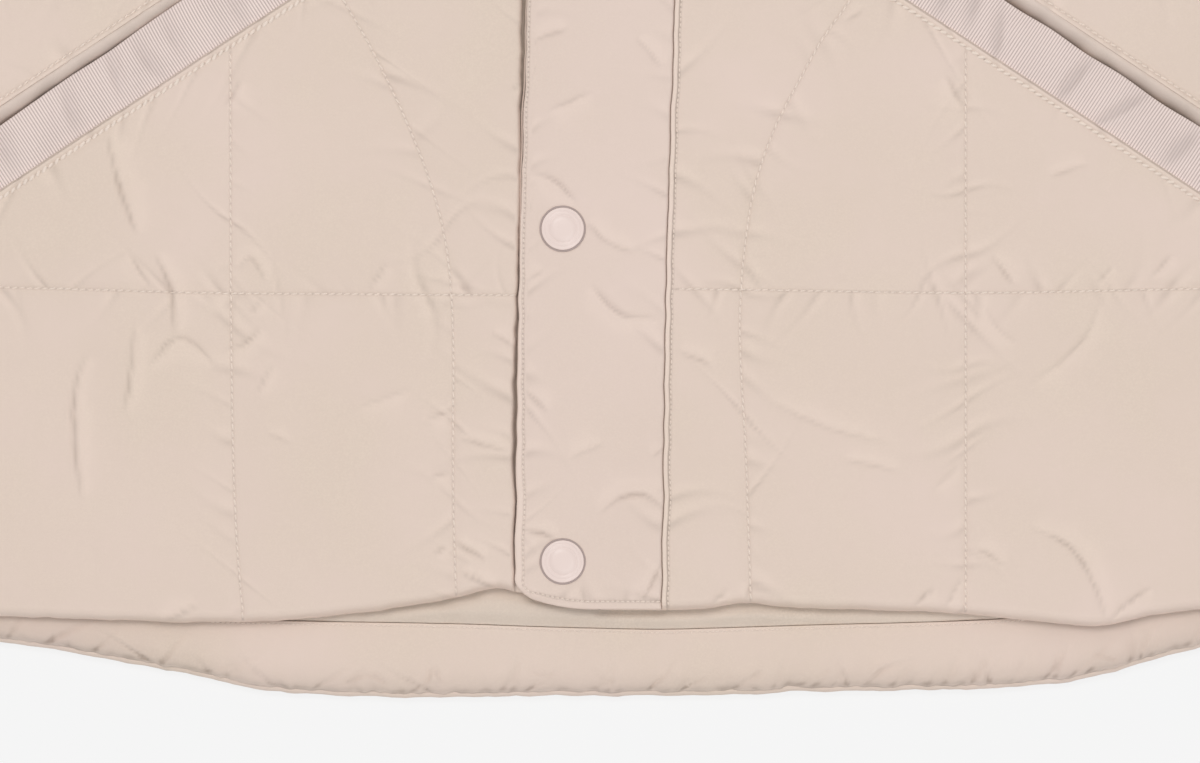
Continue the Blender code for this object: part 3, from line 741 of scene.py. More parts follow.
def frontSeams(u, v, side):
    # each stitched line: distance along it and across it, where it holds, its ends, its number, its puckers
    pitch, bag = quilting["pitch"], bagStitch(side)
    everywhere = np.ones_like(u)
    offMouth = 1 - fading(np.abs(v - (lowerLip(u) + tapeLower(u)) / 2) - 15, 3)  # not under the tape
    besidePocket = np.where(u < pocket["startU"] + 6, 1.0, unit((v - upperLip(u) - 2 + 1e-6) / 8) * (u > 150))
    upToPocket = unit((pocket["startV"] + 2 - v) / 4)
    fromBag = (u - bag(v)) * np.cos(np.arctan((bag(v + 1) - bag(v - 1)) / 2))
    return (
        (u, v - frontLevel(side)(u), everywhere, 30, 275, 0, {"deep": 0.30}),
        (u, v - pitch * 3, everywhere, 30, 284, 1, {"deep": 0.32}),
        (u, v - pitch * 4, everywhere, 30, 240, 2, {"deep": 0.32}),
        (v, u - frontColumn(side)(v), offMouth, -5, 690, 3, {"deep": 0.28}),
        (u, v - pitch * 2, besidePocket, 30, 280, 10, {"deep": 0.3}),
        (v, fromBag, upToPocket, -5, 250, 11, {"every": 10, "deep": 0.28, "lean": -side * 0.7}),
    )


def frontRuns(side):
    # every line of stitches on a front, with the look of its stitches
    hem, top, edge = frontOutline(side)
    pitch, column, inner = quilting["pitch"], quilting["column"], flap["half"] + (3.0 if side < 0 else 2.6)
    sideAt = [float(edge(pitch * k)) - 1 for k in range(5)]
    bottom, underTape = float(hem(column)) + 1.5, float(tapeLower(column)) - 3
    fromLip = ridge["stitch"] * pocketStretch
    runs = [
        (pathOver(inner, sideAt[1], frontLevel(side)), "quilted"),
        (pathOver(inner, pocket["startU"], level(pitch * 2)), "quilted"),
        (pathOver(190.0, sideAt[2], level(pitch * 2)), "quilted"),
        (pathOver(inner, sideAt[3], level(pitch * 3)), "quilted"),
        (pathOver(inner, sideAt[4], level(pitch * 4)), "quilted"),
        (pathUp(bottom, underTape, frontColumn(side)), "quilted"),
        (pathUp(float(upperLip(column)) + 3.5, float(top(column)) - 2, level(column)), "quilted"),
        (pathUp(float(hem(pocket["bagStitch"])) + 1.5, pocket["startV"] - 2, bagStitch(side)), "quilted"),
        (pathOver(pocket["startU"] + 2, 274.0, moved(tapeLower, -fromLip)), "pocket"),
        (pathOver(pocket["startU"] + 8, 270.0, moved(upperLip, fromLip)), "quilted"),
        (pathUp(body["underarm"] + 4, body["tipV"] - 8, moved(edge, -7.0)), "quilted"),
    ]
    if side > 0:
        runs.append((pathUp(flap["bottom"] + 1.5, 610.0, moved(flapEdge(1), ridge["seamStitch"])), "edge"))
    return runs


clothSim = {
    "grid": 2.6, "slack": 0.008, "bending": 0.03, "load": 1.5, "frames": 18, "share": 0.45, "limit": 0.6,
    "rows": (126, 118), "rowsAbove": (112, 126, 150), "columns": (50, 66, 132),  # between guide lines
}


def smoothed(grid, times):
    for turn in range(times):
        for axis in (0, 1):
            count = grid.shape[axis]
            before = np.take(grid, np.maximum(np.arange(count) - 1, 0), axis)
            after = np.take(grid, np.minimum(np.arange(count) + 1, count - 1), axis)
            grid = (before + 2 * grid + after) / 4
    return grid


def sampled(grid, row, column):
    # smooth values of a grid between its points
    row = np.clip(row, 0, grid.shape[0] - 1.001)
    column = np.clip(column, 0, grid.shape[1] - 1.001)
    r, c = np.floor(row).astype(int), np.floor(column).astype(int)

    def weights(t):
        return ((-t**3 + 2 * t**2 - t) / 2, (3 * t**3 - 5 * t**2 + 2) / 2,
                (-3 * t**3 + 4 * t**2 + t) / 2, (t**3 - t**2) / 2)
    total = 0.0
    for i, wr in enumerate(weights(row - r)):
        ri = np.clip(r + i - 1, 0, grid.shape[0] - 1)
        for j, wc in enumerate(weights(column - c)):
            total = total + wr * wc * grid[ri, np.clip(c + j - 1, 0, grid.shape[1] - 1)]
    return total


def guidePlace(lines, at, x):
    # place of a point between guide lines whose positions at that point are known
    positions = np.stack([line(at) + 0 * x for line in lines])
    place = np.zeros_like(x)
    for k in range(len(lines) - 1):
        low, high = positions[k], positions[k + 1]
        place = np.where(x >= low, k + unit((x - low) / np.maximum(high - low, 1e-6)), place)
    return place


def settledCloth(name, u, v, start, held):
    # runs the cloth simulation on a sheet and gives back its heights
    scene, index = bpy.context.scene, np.arange(u.size).reshape(u.shape)
    mesh = bpy.data.meshes.new(name)
    mesh.from_pydata((np.stack([u, v, start], -1).reshape(-1, 3) * 0.01).tolist(), [], squares(index))
    sheet = bpy.data.objects.new(name, mesh)
    scene.collection.objects.link(sheet)
    sheet.vertex_groups.new(name="sewn").add(np.flatnonzero(held.ravel()).tolist(), 1.0, "REPLACE")
    cloth = sheet.modifiers.new("cloth", "CLOTH")
    settings = cloth.settings
    settings.quality = 5
    settings.mass = 0.3
    settings.tension_stiffness = settings.compression_stiffness = 15
    settings.shear_stiffness = 5
    settings.bending_stiffness = clothSim["bending"]
    settings.vertex_group_mass = "sewn"
    settings.shrink_min = -clothSim["slack"]
    cloth.collision_settings.use_collision = False
    cloth.point_cache.frame_end = clothSim["frames"] + 1
    gravity = scene.gravity.copy()
    scene.gravity = (0, 0, clothSim["load"])
    for step in range(1, clothSim["frames"] + 1):
        scene.frame_set(step)
    settled = sheet.evaluated_get(bpy.context.evaluated_depsgraph_get()).data
    points = np.empty(u.size * 3)
    settled.vertices.foreach_get("co", points)
    bpy.data.objects.remove(sheet)
    bpy.data.meshes.remove(mesh)
    scene.gravity = gravity
    scene.frame_set(1)
    return points.reshape(*u.shape, 3)[..., 2] * 100


def simulatedWrinkles(name, rowLines, rowParts, columnLines, columnParts, sewn):
    # cloth with a little slack, sewn down along its lines and filled from below: the wrinkles that form
    rowAt, columnAt = fillGuides(rowParts), fillGuides(columnParts)
    u, v = crossings(rowLines, rowAt, columnLines, columnAt)
    held = sewn(u, v, rowAt, columnAt)
    high = settledCloth(name, u, v, 0.05 * gradientNoise(u, v, 9, 5) * ~held, held)
    wrinkles = smoothed(high - smoothed(high, 22), 1) * ~held
    wrinkles = np.clip(wrinkles * clothSim["share"], -clothSim["limit"], clothSim["limit"])
    print(name, "settled:", high.shape, "points, highest", round(float(high.max()), 1), "mm")
    rowStart, columnStart = (np.cumsum([0] + parts) for parts in (rowParts, columnParts))

    def detail(u, v):
        row, column = guidePlace(rowLines, u, v), guidePlace(columnLines, v, u)
        return sampled(wrinkles, np.interp(row, np.arange(len(rowStart)), rowStart),
                       np.interp(column, np.arange(len(columnStart)), columnStart))
    return detail


def frontWrinkles(side):
    hem, top, edge = frontOutline(side)
    pitch, grid = quilting["pitch"], clothSim["grid"]
    rowLines = [hem, frontLevel(side), moved(tapeLower, -2.7), tapeLower, lowerLip, upperLip,
                moved(upperLip, 2.7), level(pitch * 3), level(pitch * 4), top]
    below, above, columnParts = ([round(gap / grid) for gap in clothSim[key]]
                                 for key in ("rows", "rowsAbove", "columns"))
    rowParts = below + [1, 8, 2, 1] + above
    columnLines = [flapEdge(side), bagStitch(side), frontColumn(side), edge]

    def sewn(u, v, rowAt, columnAt):
        onRow, onColumn = np.isclose(rowAt % 1, 0), np.isclose(columnAt % 1, 0)
        line = np.where(onColumn, np.round(columnAt), -1)[None, :]
        held = onRow[:, None] | (line == 0) | (line == 3)
        held = held | (line == 2) & ((v <= tapeLower(u) + 1) | (v >= upperLip(u)))
        held |= (line == 1) & (v <= pocket["startV"] + 0.5)
        return held | ((u > pocket["startU"]) & (v > tapeLower(u) - 3) & (v < upperLip(u) + 3))
    name = f"front{sideName[side]}Cloth"
    return simulatedWrinkles(name, rowLines, rowParts, columnLines, columnParts, sewn)


def sewnDown(distance, hold=1.0):
    # the groove of a line of stitches
    return frontCut["sewnDeep"] * hold * bell(distance, 0.65)


def stitchedAt(distance, hold=1.0):
    # how full the padding stands beside a line of stitches, from almost 0 to 1
    d = np.abs(distance)
    rise = 0.72 * (1 - np.exp(-np.hypot(d, 0.35) / frontCut["puffNear"]))
    rise = rise + 0.28 * (1 - np.exp(-d / frontCut["puffFar"])) + 0.02
    return 1 - hold * (1 - rise)


def foldEnd(x):
    # 1 on a narrow fold, and 0 from where it ends
    return 0.5 + 0.5 * np.cos(math.pi * unit(x / 0.9))


def mouthFloor(u, low, high):
    # the pocket mouth: down a wall under the tape's edge, and rising again to the upper lip
    share = low / np.maximum(low + high, 0.1)
    drop = frontCut["mouthDrop"] * (1 - 0.3 * share) * mouthOpen(u) + 0.5
    walls = unit(np.minimum(low, high) / 0.35)
    low, high = heights["underTape"], heights["stitched"]
    return low + (high - low) * unit(share) - drop * unit(walls)


def besideFlap(v, fromFlap, z, tone, side, seed):
    if side < 0:  # a narrow gap beside the flap's free edge, then a soft shoulder
        gap = smoothCurve(frontCut["gapV"], frontCut["gapWide"], v) + 0.3 * noiseAlong(v, 9, seed + 7)
        gap = gap + 0.25 * noiseAlong(v, 4, seed + 8)
        floor = heights["underFlap"] - 0.9 * unit((fromFlap + 1) / 0.8)
        z = floor + (z - floor) * (1 - fading(fromFlap - gap, 0.6))
        # painted shade in the gap beside the flap's free edge
        inGap = unit((gap + 0.5 - fromFlap) / 0.7)
        return z, tone - frontCut["gapShade"] * unit((fromFlap + 0.8) / 0.6) * inGap
    # on the other side a folded edge over the flap: a narrow roll, its stitching, then the padding
    fold = np.minimum(quarterRound(positive(fromFlap), 0.45), foldEnd(fromFlap - ridge["seamWide"] + 0.3))
    foot, fromStitch = frontCut["seamFoot"], fromFlap - ridge["seamStitch"]
    padded = foot + (z - foot) * (1 - fading(fromStitch, 4.0))
    folded = padded + ridge["seamHigh"] * fold - 0.2 * bell(fromStitch, 0.5)
    z = np.where(fromFlap < 0.02, heights["underFlap"], folded)
    # painted highlight on the folded edge over the flap, and painted shade in a thin line along its outer
    # side
    tone = tone + ridge["seamLight"] * fold * (fromFlap > 0.02)
    return z, tone - ridge["seamShade"] * bell(fromFlap - ridge["seamWide"] - 0.15, 0.32)


def frontHeight(u, v, side, wrinkles):
    seed = 40 if side < 0 else 80
    puff = np.ones_like(u)
    folds, grooves, ridges, tone = (np.zeros_like(u) for field in range(4))
    for along, across, hold, start, end, number, look in frontSeams(u, v, side):
        puff *= stitchedAt(across, hold)
        grooves += sewnDown(across, hold)
        folds += hold * puckers(along, across, start, end, seed + number, **look)
    # the folded edge below the tape and above the mouth: a narrow roll, then its stitching
    span = unit((u - pocket["startU"] + 3) / 5)
    below, above = (tapeLower(u) - v) * pocketCos, (v - upperLip(u)) * pocketCos
    for number, across, high in ((12, below, ridge["high"]), (13, above, ridge["upperHigh"])):
        beyond, fromStitch = across > -0.02, across - ridge["stitch"]
        puff *= np.where(beyond, stitchedAt(fromStitch, span), 1.0)
        grooves += sewnDown(fromStitch, span * 0.6)
        folds += span * beyond * puckers(u, fromStitch, pocket["startU"], 270, seed + number, deep=0.25)
        across = positive(across)
        fold = quarterRound(across, 0.4) * foldEnd(across - ridge["wide"] + 0.7)
        # painted highlight along the fold
        tone += ridge["light"] * span * beyond * fold
        # painted shade in a thin line just below the tape's lower edge
        if number == 12:  # the tape's lower edge lies a little way over a dark line
            tone -= ridge["lineShade"] * span * beyond * bell(across - 0.1, 0.2)
        ridges += span * beyond * high * fold
    underTape = (below < -0.02) & (v < lowerLip(u) - 0.02) & (u > pocket["startU"])
    puff = np.where(underTape, 0.0, puff)
    fromTop = topLine(body["frontNeck"])(u) - v
    puff *= stitchedAt(fromTop * np.where(u < body["neckU"], 0.6, 1.0), u < body["neckU"] + 4)
    folds += puckers(u, fromTop - 1, 30, 214, seed + 14, deep=0.3)
    z = heights["sewn"] + (heights["crown"] - heights["sewn"]) * puff
    # padding lumps, cloth crumple, and the listed folds
    lumps = (frontCut["lumps"] * gradientNoise(u, v, 46, seed)
             + frontCut["smallLumps"] * gradientNoise(u, v, 19, seed + 1))
    z = z + unit(puff * 1.6) * lumps
    z = z + frontCut["crumple"] * gradientNoise(u, v, 6.5, seed + 4)
    z = z + wrinkles(u, v) * np.clip(0.45 + 0.8 * gradientNoise(u, v, 48, seed + 5), 0.05, 1)
    fromFlap = u - flapEdge(side)(v)
    pulled = puckers(v, fromFlap - 1.5, -5, 600, seed + 15, every=14, reach=7, deep=0.26, lean=0.4)
    folds += pulled * (fromFlap > 1.5)
    folds += creases(side * u, v, frontCreases[side])
    tone = tone + foldShadeAndHighlight(folds)
    z = z + folds - grooves + ridges
    fromHem = positive(v - frontOutline(side)[0](u))
    z = z - frontCut["hemFall"] * np.exp(-fromHem / frontCut["hemFallWide"])
    z = z + frontCut["hemLumps"] * np.exp(-fromHem / 7) * gradientNoise(u, v * 0.5, 11, seed + 6)
    low, high = (v - lowerLip(u)) * pocketCos, (upperLip(u) - v) * pocketCos
    mouthStart = pocket["startU"] + pocket["slope"] * (v - pocket["startV"])
    z = np.where((low > -0.02) & (high > 0.02) & (u > mouthStart), mouthFloor(u, low, high), z)
    z = np.where(underTape, heights["underTape"], z)
    return besideFlap(v, fromFlap, z, tone, side, seed)


def frontPanel(side):
    hem, top, edge = frontOutline(side)
    pitch, grid, upper = quilting["pitch"], frontCut["grid"], frontCut["upperGrid"]
    rowLines, rowAt = guides(
        beside(hem, (0.0, *edgeSteps)), (118 / grid, beside(frontLevel(side), seamSteps)),
        (112 / grid, beside(tapeLower, tapeSteps)), (14, beside(lowerLip, (0.0, 0.3, 0.8))),
        (5, beside(upperLip, (-0.8, -0.3, 0.0))), (1, beside(upperLip, lipSteps)),
        (8, [moved(upperLip, 18.0)]), (130 / upper, beside(level(pitch * 3), seamSteps)),
        (120 / upper, beside(level(pitch * 4), seamSteps)), (140 / upper, upTo(top, edgeSteps)))
    columnLines, columnAt = guides(
        [level(1.0)], (3, beside(flapEdge(side), flapSteps)), (46 / grid, beside(bagStitch(side), seamSteps)),
        (70 / grid, beside(frontColumn(side), seamSteps)), (122 / grid, upTo(edge, edgeSteps)))
    u, v = crossings(rowLines, rowAt, columnLines, columnAt)
    distance, fromHem = fromOutline(u, v, hem, edge, top), v - hem(u)
    over, tone = frontHeight(u, v, side, frontWrinkles(side))
    # the hem is a thicker roll, and the side seam has none
    middle = frontCut["middle"] + 1.5 * fading(fromHem, 14) - 1.2 * seamShare(u, v, edge)
    nearHem = fading(fromHem, 8) * (np.abs(distance - positive(fromHem)) < 1e-6)
    rolled = quarterRound(distance, frontCut["roll"])
    fuller = 1 - (1 - unit(distance / frontCut["roll"])) ** 1.5
    z = middle + (over - middle) * (rolled + (fuller - rolled) * 0.6 * nearHem)
    # painted light along the hem's roll
    tone = tone + frontCut["hemLight"] * nearHem * np.exp(-distance / 2.0)
    fromCentre = np.minimum(distance, 3 * (u - 1.0))
    otherZ = middle - (middle - heights["underFront"]) * quarterRound(fromCentre, 4.0)
    z[:, 0] = otherZ[:, 0] = middle[:, 0]
    # edges waver a little with the padding
    waver = (0.45 * gradientNoise(u, 0 * v, 16, 300 + side) + 0.25 * gradientNoise(u, 0 * v, 6, 302 + side))
    marks = stitchMarks(u, v, frontRuns(side))
    v = v + waver * np.exp(-distance / 9) * (np.abs(fromHem) < 25)
    piece = closedShell(f"front{sideName[side]}Panel", side * u, v, z, otherZ, (8,), (8,))
    paintSewingAndShade(piece, tone, marks)
    dress(piece, shellCloth, "shell", f"front_panel_{sideName[side].lower()}")
    print("front panel:", z.shape, "points")
    return piece


frontPieces = {side: frontPanel(side) for side in (-1, 1)}

# back panel, hem facing and lining

backCut = {
    "grid": 2.7, "roll": 9.0, "topRoll": 2.6, "groove": 2.6, "puffNear": 5.0,
    "waver": 0.65, "fineWaver": 0.35, "lumps": 0.5, "smallLumps": 0.25, "gaps": (118, 112, 112, 112),
    "middle": 3.9, "seamMiddle": 3.4, "seamTop": 1.5,  # at the side seams it rises to meet the fronts
}
backEdges = (0.12, 0.45, 1.0, 1.9, 3.2, 5.0, 7.2, 10.0)
backCreases = {
    -1: (
        (((-188, 190), (-196, 168), (-190, 146)), 0.7, 4.0, 1),
        (((-60, 110), (-40, 92), (-22, 90)), 0.6, 3.6, -1),
        (((-120, 300), (-100, 320), (-96, 345)), 0.7, 4.0, 1),
        (((-250, 330), (-228, 322), (-206, 330)), 0.6, 3.5, 1),
        (((-180, 450), (-160, 440), (-152, 420)), 0.6, 3.2, -1),
        (((-70, 560), (-52, 590), (-50, 620)), 0.7, 4.2, 1),
        (((-210, 60), (-190, 40), (-168, 36)), 0.6, 3.6, 1),
        (((-100, 20), (-90, 4), (-86, -16)), 0.7, 3.0, -1),
    ),
    1: (
        (((40, 200), (62, 190), (84, 196)), 0.6, 3.8, 1),
        (((190, 110), (204, 86), (200, 60)), 0.7, 4.0, -1),
        (((120, 40), (104, 20), (98, -6)), 0.7, 3.2, 1),
        (((230, 220), (214, 204), (206, 180)), 0.6, 3.4, 1),
        (((70, 330), (90, 350), (120, 352)), 0.7, 4.0, -1),
        (((170, 420), (190, 446), (194, 470)), 0.6, 3.6, 1),
        (((30, 480), (52, 470), (70, 476)), 0.6, 3.4, -1),
        (((120, 560), (140, 584), (146, 610)), 0.7, 4.2, 1),
    ),
}


def backHem(side):
    # the hem's edge is uneven where the padding is gathered into its seam
    line = hemLine("back" + sideName[side])

    def hem(u):
        x = side * np.asarray(u, float)
        fade = unit((body["hemHalf"] - np.abs(x)) / 12)
        return line(u) + fade * (backCut["waver"] * noiseAlong(x, 12, 152)
                                 + backCut["fineWaver"] * noiseAlong(x, 5, 153))
    return hem


def bothHalves(makeHalf):
    # two halves of a grid with the centre column in common
    return [np.concatenate([right[:, :0:-1], left], axis=1) for right, left in zip(makeHalf(-1), makeHalf(1))]


def backHalf(side):
    hem, top, edge = backHem(side), topLine(body["backNeck"]), sideEdge()
    grid, pitch, column = backCut["grid"], quilting["pitch"], quilting["column"]
    levels = [(gap / grid, beside(level(pitch * k), seamSteps)) for k, gap in enumerate(backCut["gaps"], 1)]
    rowLines, rowAt = guides(beside(hem, (0.0, *backEdges)), *levels, (150 / grid, upTo(top, backEdges)))
    columnLines, columnAt = guides(
        beside(level(0.0), (0.0, 0.9, 2.4)), (138 / grid, beside(level(column), seamSteps)),
        (122 / grid, upTo(edge, backEdges)))
    u, v = crossings(rowLines, rowAt, columnLines, columnAt)
    x = side * u
    puff, folds = np.ones_like(u), creases(x, v, backCreases[side])
    lines = [(x, v - pitch * k, -280, 280, 140 + k) for k in range(1, 5)]
    lines += [(v, side * (u - at), -36, 690, seed) for at, seed in ((0.0, 150), (column, 161 + 20 * side))]
    for along, across, start, end, seed in lines:
        puff *= 1 - np.exp(-np.abs(across) / backCut["puffNear"])
        folds += puckers(along, across, start, end, seed, deep=0.5)
    distance = fromOutline(u, v, hem, edge, top)
    puff *= 1 - 0.7 * fading(distance, 12)
    lumps = backCut["lumps"] * gradientNoise(x, v, 42, 150)
    lumps = lumps + backCut["smallLumps"] * gradientNoise(x, v, 18, 151)
    under = positive(backCut["groove"] * (1 - puff) - folds + lumps - 0.1)
    share = seamShare(u, v, edge)
    middle = backCut["middle"] + backCut["seamMiddle"] * share
    backTop = heights["backTop"] + backCut["seamTop"] * share
    topZ = middle + (backTop - middle) * quarterRound(distance, backCut["topRoll"])
    return x, v, middle - (middle - under) * quarterRound(distance, backCut["roll"]), topZ


def backRuns():
    edge, top, column = sideEdge(), topLine(body["backNeck"]), quilting["column"]
    runs = [(pathUp(-34, body["backNeck"] - 2, level(0.0)), "quilted")]
    for side in (-1, 1):
        half = [pathOver(1.5, float(edge(v)) - 2, level(v)) for v in quilting["pitch"] * np.arange(1, 5)]
        half.append(pathUp(float(backHem(side)(column)) + 2, float(top(column)) - 2, level(column)))
        half.append(pathUp(body["underarm"] + 4, body["tipV"] - 8, moved(edge, -7.0)))
        runs += mirrored([(path, "quilted") for path in half], side)
    return runs


def backPanel():
    x, v, z, topZ = bothHalves(backHalf)
    piece = closedShell("backPanel", x, v, z, topZ, (9, (1, 2, 3, 4, 5, 6)), (2, (1, 2, 3, 5)))
    paintSewingAndShade(piece, 0 * z, stitchMarks(x, v, backRuns()))
    dress(piece, shellCloth, "shell", "back_panel")
    print("back panel:", z.shape, "points")
    return piece


band = {
    "grid": 1.05, "low": 1.7, "thick": 1.4, "above": 0.3, "swell": 1.1, "lumps": 0.55, "smallLumps": 0.35,
    # the band is made darker towards its lower edge; shade and outer shade are painted shade under the
    # front's hem, and the top and hem light painted highlights along its edges
    "darkening": 0.17, "shade": 0.09, "outerShade": 0.07, "topLight": 0.04, "hemLight": 0.14,
    "u":     (0, 25, 50, 72, 96, 121, 165, 203, 240, 277),
    "Right": (-8.6, -7.9, -7.0, -6.5, -6.1, -5.6, -3.6, 4.0, 11.5, 19.0),
    "Left":  (-8.6, -9.0, -8.4, -7.7, -7.0, -6.4, -4.4, 0.5, 9.6, 18.6),
    "rows": (0, 0.004, 0.012, 0.025, 0.045, *np.linspace(0.07, 0.93, 22),
             0.95, 0.965, 0.98, 0.99, 0.997, 1.0),
}
bandCreases = (
    (((-160, -19), (-150, -29), (-136, -34)), 0.8, 2.2, 1),
    (((-129, -27), (-122, -33)), 0.7, 1.8, 1),
    (((-104, -33), (-91, -28), (-82, -34)), 0.8, 2.0, -1),
    (((-67, -34), (-66, -26), (-61, -33)), 0.8, 1.6, -1),
    (((-28, -26), (-22, -28), (-16, -27)), 0.5, 1.8, -1),
    (((0, -33), (8, -29)), 0.5, 1.6, -1),
    (((29, -33), (37, -27)), 0.8, 1.7, 1),
    (((52, -32), (60, -28), (66, -24)), 0.9, 1.7, 1),
    (((84, -31), (92, -27)), 0.5, 1.8, 1),
    (((105, -32), (112, -25), (118, -22), (126, -20)), 0.8, 2.2, 1),
    (((142, -31), (150, -26)), 0.6, 1.8, 1),
    (((192, -28), (197, -23)), 0.7, 1.8, 1),
    (((196, -19), (210, -23)), 0.6, 1.8, -1),
    (((-186, -20), (-176, -26)), 0.6, 2.0, 1),
    (((-212, -14), (-204, -18)), 0.5, 2.0, 1),
)


def bandTop(side):
    return lambda u: smoothCurve(band["u"], band[sideName[side]], u)


def bandLow(side):
    hem = backHem(side)
    return lambda u: (hem(u) + band["low"] + 0.5 * noiseAlong(side * u, 8, 154)
                      + 0.4 * noiseAlong(side * u, 3.5, 155))


def bandRuns():
    return [run for side in (-1, 1)
            for run in mirrored([(pathOver(0.5, 272, moved(bandTop(side), -1.3)), "edge")], side)]


def bandHalf(side):
    low, high, edge = bandLow(side), bandTop(side), moved(sideEdge(), -4.0)
    columnAt = fillGuides([int(273 / band["grid"])])
    u, v = crossings([low, high], np.array(band["rows"]), [level(0.0), edge], columnAt)
    fromTop, fromHem, fromSide = high(u) - v, v - low(u), edge(v) - u
    x, floor = side * u, heights["backTop"] + band["above"]
    lumpy = fading(fromHem - 1, 5.5)
    z = floor + band["thick"] + band["swell"] * unit(fromHem / 3.0) ** 0.6 * fading(fromHem - 3, 10)
    z = z + lumpy * (band["lumps"] * gradientNoise(x, v * 0.6, 9, 210)
                     + band["smallLumps"] * gradientNoise(x, v * 0.8, 4.6, 211))
    z = z + 0.16 * gradientNoise(x, v, 24, 212) + 0.05 * gradientNoise(x, v, 6, 213)
    z = z + creases(x, v, bandCreases)
    z = z + puckers(x, fromHem, -275, 275, 214, every=6.5, reach=4.6, deep=0.62, lean=1.1)
    # painted shade in the band's low places and painted highlights on its high ones, and darker towards its
    # lower edge
    tone = foldShadeAndHighlight(z - floor - band["thick"] - 0.6) * lumpy - band["darkening"] * bell(fromHem, 6.5)
    # painted shade under the front's hem, broader and stronger towards the side ends
    fromFront = hemLine("front" + sideName[side])(u) - v  # shade and dust under the front's hem
    outer = unit((u - 140) / 40) * (1 + 0.6 * noiseAlong(x, 22, 215))
    shade = band["shade"] + band["outerShade"] * outer
    tone = tone - shade * fading(fromFront, 3.5 + 2.5 * outer) * (fromFront < 40)
    z = np.maximum(z - 0.12 * bell(fromTop - 1.3, 0.45), floor + 0.6)
    rolled = np.minimum(quarterRound(fromHem, 2.0), quarterRound(fromSide, 2.0))
    z = floor + (z - floor) * np.minimum(quarterRound(fromTop, 0.25), rolled)
    # painted highlights along the band's top and lower edges
    tone = tone + band["topLight"] * bell(fromTop - 0.5, 0.6) + band["hemLight"] * bell(fromHem - 0.3, 0.6)
    sewnIn = 0.5 * bell(fromHem, 1.5)  # the lower edge is sewn into the back panel
    return x, v, z - sewnIn, floor - sewnIn, tone


def hemFacing():
    x, v, z, floor, tone = bothHalves(bandHalf)
    piece = closedShell("hemFacing", x, v, z, floor, (4, (1, 3)), (4, (1, 3)))
    paintSewingAndShade(piece, tone, stitchMarks(x, v, bandRuns()) * (1, 0.75))
    dress(piece, shellCloth, "shell", "back_hem_facing")
    return piece


lining = {"above": 0.3, "thick": 1.5, "swell": 1.8, "tucks": (-118.0, 148.0)}


def liningHalf(side):
    low, edge = moved(bandTop(side), 0.06), moved(sideEdge(), -6.0)
    top = moved(topLine(body["backNeck"]), -5.0)
    rowAt, columnAt = fillGuides([1, 1, 1, 1, 34, 90]), fillGuides([112])
    u, v = crossings([*beside(low, (0.0, 0.06, 0.2, 0.6, 1.3, 40)), top], rowAt, [level(0.0), edge], columnAt)
    x, floor = side * u, heights["backTop"] + lining["above"]
    fromEdge, fromLow = np.minimum(edge(v) - u, top(u) - v), v - low(u)
    fade = unit(fromEdge / 6)
    z = heights["backTop"] + lining["thick"] + fade * (0.75 * gradientNoise(x + 0.25 * v, v * 0.25, 11, 220)
                                                       + 0.45 * gradientNoise(x - 0.3 * v, v * 0.3, 5, 221))
    z = z + 0.2 * fade * gradientNoise(x, v, 60, 222)
    shown = hemLine("front" + sideName[side])(u) - v  # it swells where no front lies on it
    z = z + lining["swell"] * unit((shown - 0.5) / 4) * unit((fromLow - 0.5) / 4)
    tucked = sum(bell(x - place, 15) for place in lining["tucks"])
    closes = fromLow * (5 - 4.3 * tucked)
    return x, v, floor + (z - floor) * quarterRound(positive(np.minimum(fromEdge, closes)), 0.8)


def liningSheet():
    x, v, z = bothHalves(liningHalf)
    piece = closedShell("backLining", x, v, z, heights["backTop"] + lining["above"], (8, (1,)), (8, (1,)))
    dress(piece, liningCloth, "lining", "back_lining")


backPiece = backPanel()
bandPiece = hemFacing()
liningSheet()
print("hem facing and lining made")

# flap and its facing

